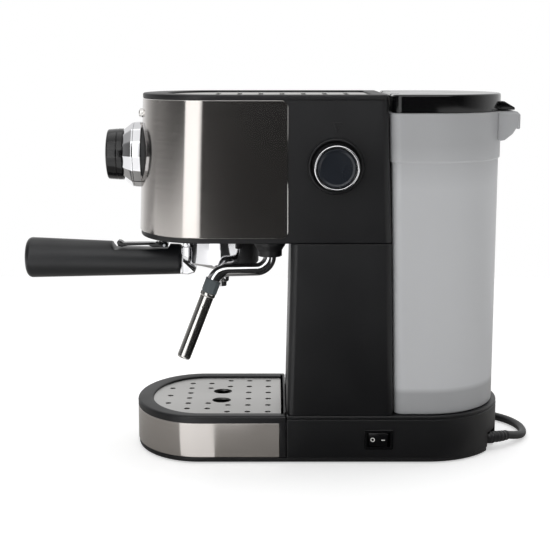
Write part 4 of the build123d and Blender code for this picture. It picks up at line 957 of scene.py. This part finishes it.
# %% Basket clip
clip = bar("basket_clip_lever", [(-91.4, 169.6), (-90.8, 172.2), (-92.6, 174.4), (-96.0, 174.9), (-96.8, 173.9),
                                 (-98.6, 174.6), (-99.4, 173.6), (-101.2, 174.2), (-102.0, 173.2), (-106.0, 173.4),
                                 (-129.0, 173.2), (-131.0, 174.8), (-133.6, 175.4), (-134.6, 173.6), (-133.6, 170.6),
                                 (-130.6, 169.9), (-126.0, 170.8), (-108.0, 171.4), (-104.0, 169.6)],
           -5.0, 5.0, edge=0.6, corner=0.7)
dress(clip, polished_black_abs, "basket_clip", "matte_black", "basket_clip")
print(*told(clip))

# %% [markdown]
# ## The steam wand
# The wand is a thin chromed tube with two smooth bends. It turns in a black gland under the head, and a silicone
# grip with a small fin lets it be moved while it is hot. The froth sleeve slides over its end.

# %% Steam wand
WAND_X, WAND_Y = 47.0, -4.2
heading, tilt = math.radians(8.0), math.radians(21.5)


def wand_point(reach, z):
    """A point of the wand from its distance out from the gland, along the heading, and its height."""
    return np.array([WAND_X + reach * math.sin(heading), WAND_Y - reach * math.cos(heading), z])


KNEE_REACH, KNEE_Z, TIP_Z = 43.4, 158.0, 86.0
SLEEVE_LENGTH = 55.0
drop = (KNEE_Z - TIP_Z) / math.cos(tilt)
wand_tip = wand_point(KNEE_REACH + drop * math.sin(tilt), TIP_Z)
wand_knee = wand_point(KNEE_REACH, KNEE_Z)
down = (wand_tip - wand_knee) / np.linalg.norm(wand_tip - wand_knee)
sleeve_top = wand_tip - SLEEVE_LENGTH * down
grip_low = sleeve_top - 3.4 * down
grip_top = grip_low - 11.0 * down
wand_line = bent([wand_point(0, 181.0), wand_point(0, KNEE_Z), wand_knee, grip_low], [12.0, 15.0])
tube = carried("steam_tube_bent", wand_line, 5.2, 40)
dress(tube, chrome_plate, "steam_wand", "chrome", "steam_tube")
nozzle = lathe("steam_nozzle", rounded([(0.05, 0), (3.2, 0), (3.2, 52), (2.4, 53), (0.05, 53)], 0.3),
               grip_low, down, 32)
dress(nozzle, polished_steel, "steam_wand", "chrome")
gland_profile = rounded([(0.05, 181.9), (12.75, 181.9), (12.75, 178.4), (10.2, 174.6), (9.9, 173.6), (9.9, 169.4),
                         (9.2, 169.0), (5.4, 169.0), (5.4, 176.0), (0.05, 176.0)],
                        [0.3, 1.2, 0.6, 0.6, 0.5, 0.5, 0.3, 0.3])
gland = lathe("wand_gland_turned", gland_profile, (WAND_X, WAND_Y, 0), UP, 72)
dress(gland, satin_black_abs, "root", "matte_black", "wand_gland")


def along_wand(name, outline, top, low, high, edge, corner):
    """A flat outline carried down the wand's straight end: its first axis is level, its second faces back."""
    piece = bar(name, outline, low, high, axis="z", edge=edge, corner=corner)
    level = np.array([math.cos(heading), math.sin(heading), 0.0])
    back = np.cross(down, level)
    turn = np.stack([level, back, down])
    flat = np.empty(len(piece.data.vertices) * 3, np.float32)
    piece.data.vertices.foreach_get("co", flat)
    local = flat.reshape(-1, 3) * 1000.0 - shift
    moved = place(np.asarray(top) + local @ turn)
    piece.data.vertices.foreach_set("co", moved.astype(np.float32).ravel())
    piece.data.update()
    return outward(piece)


grip_outline = [(-5.6, -5.4), (4.6, -5.9), (7.6, -2.2), (7.6, 2.4), (4.8, 6.0), (-5.6, 5.6)]
grip = along_wand("wand_grip_moulded", grip_outline, grip_top, low=0.2, high=11.0, edge=0.5, corner=1.0)
dress(grip, grey_silicone, "steam_wand", "grey_silicone", "wand_grip")
sleeve_profile = rounded([(3.6, -3.0), (6.3, -3.0), (6.3, -0.4), (5.6, 0.4), (5.6, 53.6), (4.9, 55.0), (1.2, 55.0),
                          (1.2, 53.6), (3.6, 53.2), (3.6, -3.0)], [0.5, 0.5, 0.4, 0.8, 0.8, 0.3, 0.3, 0.3])
sleeve = lathe("froth_sleeve_turned", sleeve_profile, sleeve_top, down, 64)
cut(sleeve, rod_cutter(sleeve_top + 9 * down, (1, 0, 0), 0.9, 9))
dress(sleeve, polished_steel, "froth_sleeve", "brushed_steel", "froth_sleeve")
print(*told(tube, nozzle, gland, grip, sleeve), sep="; ")

# %% [markdown]
# ## The power switch
# A rocker switch clips into the side of the base. The rocker is a shallow V of glossy plastic, pressed in at its
# off end, with a ring and a bar printed on it.

# %% Power switch
FRAME_LENGTH, FRAME_HEIGHT = 23.6, 17.0
y0, y1 = SWITCH_Y - FRAME_LENGTH / 2, SWITCH_Y + FRAME_LENGTH / 2
z0, z1 = SWITCH_Z - FRAME_HEIGHT / 2, SWITCH_Z + FRAME_HEIGHT / 2
bezel = bar("switch_bezel", [(y0, z0), (y1, z0), (y1, z1), (y0, z1)], 58.0, 72.2, edge=0.5, corner=1.4)
cut(bezel, box_cutter((59.5, y0 + 2.5, z0 + 2.5), (75, y1 - 2.5, z1 - 2.5)))
FLANGE_X = 71.0
for (low_y, high_y), (low_z, high_z) in (
    ((y0 - 1, y0 + 1.5), (z0 - 1, z1 + 1)), ((y1 - 1.5, y1 + 1), (z0 - 1, z1 + 1)),
    ((y0 - 1, y1 + 1), (z0 - 1, z0 + 1.5)), ((y0 - 1, y1 + 1), (z1 - 1.5, z1 + 1)),
):
    cut(bezel, box_cutter((57, low_y, low_z), (FLANGE_X, high_y, high_z)))
dress(bezel, polished_black_abs, "root", "gloss_black", "switch_frame")

PIVOT_X = 66.5
rest_angle = math.radians(-8.0)


def tipped(points):
    """Points of (x, y) turned about the rocker's pivot to its rest angle."""
    flat = np.asarray(points, float) - (PIVOT_X, SWITCH_Y)
    cosine, sine = math.cos(rest_angle), math.sin(rest_angle)
    return flat @ np.array([[cosine, sine], [-sine, cosine]]) + (PIVOT_X, SWITCH_Y)


rocker_outline = tipped([(72.6, SWITCH_Y), (72.2, SWITCH_Y + 7.8), (67.0, SWITCH_Y + 7.9), (63.6, SWITCH_Y + 3.0),
                         (63.6, SWITCH_Y - 3.0), (67.0, SWITCH_Y - 7.9), (72.2, SWITCH_Y - 7.8)])
rocker = bar("switch_rocker_moulded", rocker_outline, z0 + 2.9, z1 - 2.9, axis="z", edge=0.4, corner=0.6)
dress(rocker, polished_black_abs, "power_rocker", "gloss_black", "switch_rocker")
off_centre, on_centre = tipped([(72.38, SWITCH_Y - 4.3), (72.38, SWITCH_Y + 4.3)])
face = np.array([math.cos(rest_angle), math.sin(rest_angle), 0.0])
off_mark = lathe("switch_mark_off", [(1.25, -0.1), (1.7, -0.1), (1.7, 0.12), (1.25, 0.12), (1.25, -0.1)],
                 (*off_centre, SWITCH_Z), face, 32)
dress(off_mark, print_white, "power_rocker", "white_plastic")
bar_outline = tipped([(72.3, SWITCH_Y + 2.9), (72.52, SWITCH_Y + 2.9), (72.48, SWITCH_Y + 5.7),
                      (72.26, SWITCH_Y + 5.7)])
on_mark = bar("switch_mark_on", bar_outline, SWITCH_Z - 0.3, SWITCH_Z + 0.3, axis="z", edge=0.03, corner=0.05)
dress(on_mark, print_white, "power_rocker", "white_plastic")
print(*told(bezel, rocker, off_mark, on_mark), sep="; ")

# %% [markdown]
# ## The mains lead
# The lead is a round 7 mm PVC cord, 1.0 m long. It leaves a tapered strain relief in a notch at the rear of the
# base, drops to the table and bends round behind the base, where the rest is wound up neatly with the plug beside
# it. A cord like this is stiff enough to run in wide, even curves, so it is one smooth NURBS line.
# The coil's radius and height follow from how many turns have been made: two turns lie side by side, and the last
# one rests on them.

# %% Cord route
ROUTE = [
    (25.6, 197.6, 10.6), (11.0, 213.6, 4.6), (-13.0, 220.4, 3.6), (-38.5, 215.0, 3.6),
    (-59.0, 198.0, 3.6), (-73.0, 173.5, 3.6), (-81.5, 143.0, 3.6),
]
COIL_X, COIL_Y = -129.0, 116.0
POINTS_PER_TURN = 16
coil_start, coil_end = math.radians(-8.0), math.radians(-60.0 - 3 * 360.0)
all_turns = (coil_start - coil_end) / (2 * math.pi)
count = int(POINTS_PER_TURN * all_turns) + 1
turns = np.arange(count + 1) / count * all_turns
angle = coil_start - turns * 2 * math.pi
radius = (43.6 - 7.0 * smooth_step(turns, 0.75, 1.25) + 3.4 * smooth_step(turns, 1.85, 2.3)
          + 3.4 * smooth_step(turns, 2.85, 3.14))
height = 3.6 + 6.2 * smooth_step(turns, 1.75, 2.15)
coil_points = np.column_stack([COIL_X + radius * np.cos(angle), COIL_Y + radius * np.sin(angle), height])
exit_way = np.array([math.sin(coil_end), -math.cos(coil_end), 0.0])
tail_from = coil_points[-1]
PLUG_LEAD, PLUG_Z = 30.0, 8.2
plug_start = tail_from + PLUG_LEAD * exit_way
plug_start[2] = PLUG_Z
tail_points = [tail_from + 0.55 * (plug_start - tail_from), plug_start + 1.5 * exit_way]
cord_points = np.concatenate([ROUTE, coil_points, tail_points])
print("cord control points", len(cord_points))

curve = bpy.data.curves.new("mains_lead", "CURVE")
curve.dimensions = "3D"
spline = curve.splines.new("NURBS")
spline.points.add(len(cord_points) - 1)
spline.points.foreach_set("co", np.column_stack([place(cord_points), np.ones(len(cord_points))]).ravel())
spline.order_u = 3
spline.use_endpoint_u = True
curve.resolution_u = 6
curve.bevel_depth = 0.0035
curve.bevel_resolution = 5
curve.use_fill_caps = True
lead = bpy.data.objects.new("mains_lead", curve)
bpy.context.scene.collection.objects.link(lead)
dress(lead, pvc_sheath, "root", "cord_pvc", "mains_cord", "cord_coil", "plug_lead")


def cord_line():
    """The smooth line of the cord's own spline, as points: the same curve with no thickness, made a mesh."""
    bare = curve.copy()
    bare.bevel_depth = 0.0
    holder = bpy.data.objects.new("line", bare)
    bpy.context.scene.collection.objects.link(holder)
    bpy.context.view_layer.update()
    mesh = bpy.data.meshes.new_from_object(holder.evaluated_get(bpy.context.evaluated_depsgraph_get()))
    flat = np.empty(len(mesh.vertices) * 3, np.float32)
    mesh.vertices.foreach_get("co", flat)
    bpy.data.objects.remove(holder)
    return flat.reshape(-1, 3)


lead_line = cord_line()

# %% [markdown]
# Where the lead leaves the case a moulded sleeve keeps it from bending sharply. The sleeve tapers, and its rings
# let it flex. The plug is moulded on the other end: a flat rounded body that narrows to the cord, drawn as
# rounded-box sections that change from round to wide.

# %% Strain relief and plug
RELIEF_POINTS = 26
RELIEF_BEND = 33.0
RELIEF_RINGS = 7
relief_heading = np.radians(90 + np.linspace(0, 41, RELIEF_POINTS))
relief_line = np.column_stack([
    33.7 + RELIEF_BEND * (np.sin(relief_heading) - 1),
    176.0 - RELIEF_BEND * np.cos(relief_heading),
    10.6 - 0.4 * smooth_step(np.arange(RELIEF_POINTS), 14, RELIEF_POINTS - 1),
])
share = np.linspace(0, 1, RELIEF_POINTS)
grooved = (np.sin(share * RELIEF_RINGS * 2 * math.pi) > 0.35) * (share > 0.08) * (share < 0.95)
relief_radius = 5.6 - 1.3 * share - 0.45 * grooved
relief = carried("strain_relief", relief_line, relief_radius, 32)
dress(relief, pvc_sheath, "root", "cord_pvc", "cord_gland")

plug_side = np.cross(UP, exit_way)


def plug_ring(along, half_wide, half_thick, power=4.0, segments=48):
    """A rounded-box section across the plug: |a/w|^n + |b/h|^n = 1 at a distance along it."""
    angle = np.linspace(0, 2 * math.pi, segments, endpoint=False)
    a = half_wide * np.sign(np.cos(angle)) * np.abs(np.cos(angle)) ** (2 / power)
    b = half_thick * np.sign(np.sin(angle)) * np.abs(np.sin(angle)) ** (2 / power)
    centre = plug_start + exit_way * along
    return centre + a[:, None] * plug_side + b[:, None] * np.array(UP)


stations = [(0.0, 4.3, 4.3, 2.0), (5.0, 4.9, 4.9, 2.0), (10.0, 5.4, 5.2, 2.0), (16.0, 6.2, 5.8, 2.0),
            (20.0, 8.0, 6.6, 2.4), (24.0, 12.4, 7.1, 3.2), (29.0, 15.2, 7.3, 4.0), (36.0, 15.9, 7.3, 4.0),
            (50.0, 15.9, 7.3, 4.0), (54.8, 15.7, 7.2, 4.0), (56.0, 14.9, 6.4, 4.0)]
plug = outward(grid_piece("mains_plug", np.array([plug_ring(*s) for s in stations])))
dress(plug, pvc_sheath, "root", "cord_pvc", "plug_body")
print(*told(relief, plug), sep="; ")

# %% [markdown]
# ## Light and stage
# The machine stands on a plain white floor in a white studio. Metal only shows what it reflects, so the room is
# lit for the steel. A tall white panel in front to one side gives the bright band on the curve of the wrap, and
# it fades out towards its inner end, so the band has a soft edge. Black cloth beside the machine keeps the chrome
# dark from below, grey cloth under the rest softens that, and a white strip puts one light line on the tray's
# band. An overhead panel lights the upper sides of round parts. All of them show in reflections only.

# %% Floor, cloths and panels
def flat_card(name, corners, colour, glow=0.0):
    """A flat card between four corners, in the machine's millimetres."""
    mesh = bpy.data.meshes.new(name)
    mesh.from_pydata(place(corners).tolist(), [], [(0, 1, 2, 3)])
    material, tree, shader = new_finish(name, Base_Color=linear(colour), Roughness=0.9)
    if glow:
        shader.inputs["Emission Color"].default_value = linear(colour)
        shader.inputs["Emission Strength"].default_value = glow
    mesh.materials.append(material)
    card = bpy.data.objects.new(name, mesh)
    bpy.context.scene.collection.objects.link(card)
    return card


def mirror_card(name, corners, colour, glow=0.0):
    """A flat card that shows in reflections only."""
    card = flat_card(name, corners, colour, glow)
    for seen in ("visible_camera", "visible_diffuse", "visible_shadow", "visible_transmission"):
        setattr(card, seen, False)
    return card


GREY_Z, STRIP_Z, BLACK_Z = 1, 2, 3
flat_card("floor", [(-800, -2600, 0), (2600, -2600, 0), (2600, 2600, 0), (-800, 2600, 0)], "#f4f4f4", glow=0.5)
mirror_card("black_cloth", [(190, -20, BLACK_Z), (3500, -600, BLACK_Z), (3500, 900, BLACK_Z), (190, 260, BLACK_Z)],
            "#050505")
mirror_card("black_cloth_beside", [(74, 10, BLACK_Z), (190, 10, BLACK_Z), (190, 260, BLACK_Z), (74, 260, BLACK_Z)],
            "#0c0c0c")
mirror_card("white_strip", [(78, -86, STRIP_Z), (78, -50, STRIP_Z), (470, -76, STRIP_Z), (338, -357, STRIP_Z)],
            "#ffffff", glow=0.6)
mirror_card("grey_cloth", [(-350, -500, GREY_Z), (190, -500, GREY_Z), (190, 900, GREY_Z), (-350, 900, GREY_Z)],
            "#bfbdba")
mirror_card("overhead_panel", [(1500, -900, 850), (1500, 900, 850), (500, 900, 1300), (500, -900, 1300)],
            "#ffffff", glow=0.55)
panel = mirror_card("white_panel", [(1530, -300, 0), (1162, -1143, 0), (1162, -1143, 1250), (1530, -300, 1250)],
                    "#ffffff", glow=1.0)
panel_tree = panel.data.materials[0].node_tree
panel_here = add(panel_tree, "ShaderNodeTexCoord")
panel_axes = add(panel_tree, "ShaderNodeSeparateXYZ", {"Vector": (panel_here, "Object")})
fade = add(panel_tree, "ShaderNodeMapRange", {"Value": (panel_axes, "Y"), "From Min": -0.44, "From Max": -0.36,
                                              "To Min": 0.75, "To Max": 0.0})
panel_tree.links.new(fade.outputs["Result"], panel_tree.nodes["Principled BSDF"].inputs["Emission Strength"])
print("panel", *told(panel))

# %% [markdown]
# Two large softboxes give the plastics their even light. The front one is hidden from reflections, because the
# chrome would show it as a hard white square beside the panel's soft band. The room's own brightness falls off
# towards the camera and the front, while the camera itself sees a plain white page.

# %% Lights
def soft_light(name, centre, target, width, height, power):
    """An area light of a size in millimetres, turned to face a target: its own -Z axis points at it."""
    data = bpy.data.lights.new(name, "AREA")
    data.shape = "RECTANGLE"
    data.size, data.size_y = width / 1000, height / 1000
    data.energy = power
    light = bpy.data.objects.new(name, data)
    light.location = place(centre)
    light.rotation_euler = (light.location - Vector(place(target))).to_track_quat("Z", "Y").to_euler()
    bpy.context.scene.collection.objects.link(light)
    return light


front_light = soft_light("front_softbox", (1392, -632, 520), (0, -20, 200), width=1120, height=1300, power=11)
front_light.visible_glossy = False
top_light = soft_light("top_softbox", (100, 0, 1700), (0, 30, 150), width=1600, height=1600, power=6)
print("lights in W", front_light.data.energy, top_light.data.energy)

world = bpy.data.worlds.new("studio")
bpy.context.scene.world = world
world.use_nodes = True
sky = world.node_tree
sky.nodes.clear()
looking = add(sky, "ShaderNodeLightPath")
way = add(sky, "ShaderNodeTexCoord")
axes = add(sky, "ShaderNodeSeparateXYZ", {"Vector": (way, "Generated")})
toward_camera = add(sky, "ShaderNodeMapRange", {"Value": (axes, "X"), "From Min": -0.2, "From Max": 0.6,
                                                "To Min": 1.0, "To Max": 0.03})
toward_front = add(sky, "ShaderNodeMapRange", {"Value": (axes, "Y"), "From Min": -0.95, "From Max": -0.5,
                                               "To Min": 0.28, "To Max": 1.0})
dimmed = add(sky, "ShaderNodeMath", {0: (toward_camera, "Result"), 1: (toward_front, "Result")},
             operation="MULTIPLY")
room = add(sky, "ShaderNodeBackground", {"Color": (dimmed, "Value"), "Strength": 0.9})
page = add(sky, "ShaderNodeBackground", {"Color": (1, 1, 1, 1), "Strength": 1.0})
both = add(sky, "ShaderNodeMixShader", {"Fac": (looking, "Is Camera Ray"), 1: (room, "Background"),
                                        2: (page, "Background")})
add(sky, "ShaderNodeOutputWorld", {"Surface": (both, "Shader")})
bpy.context.scene.view_settings.view_transform = "Standard"
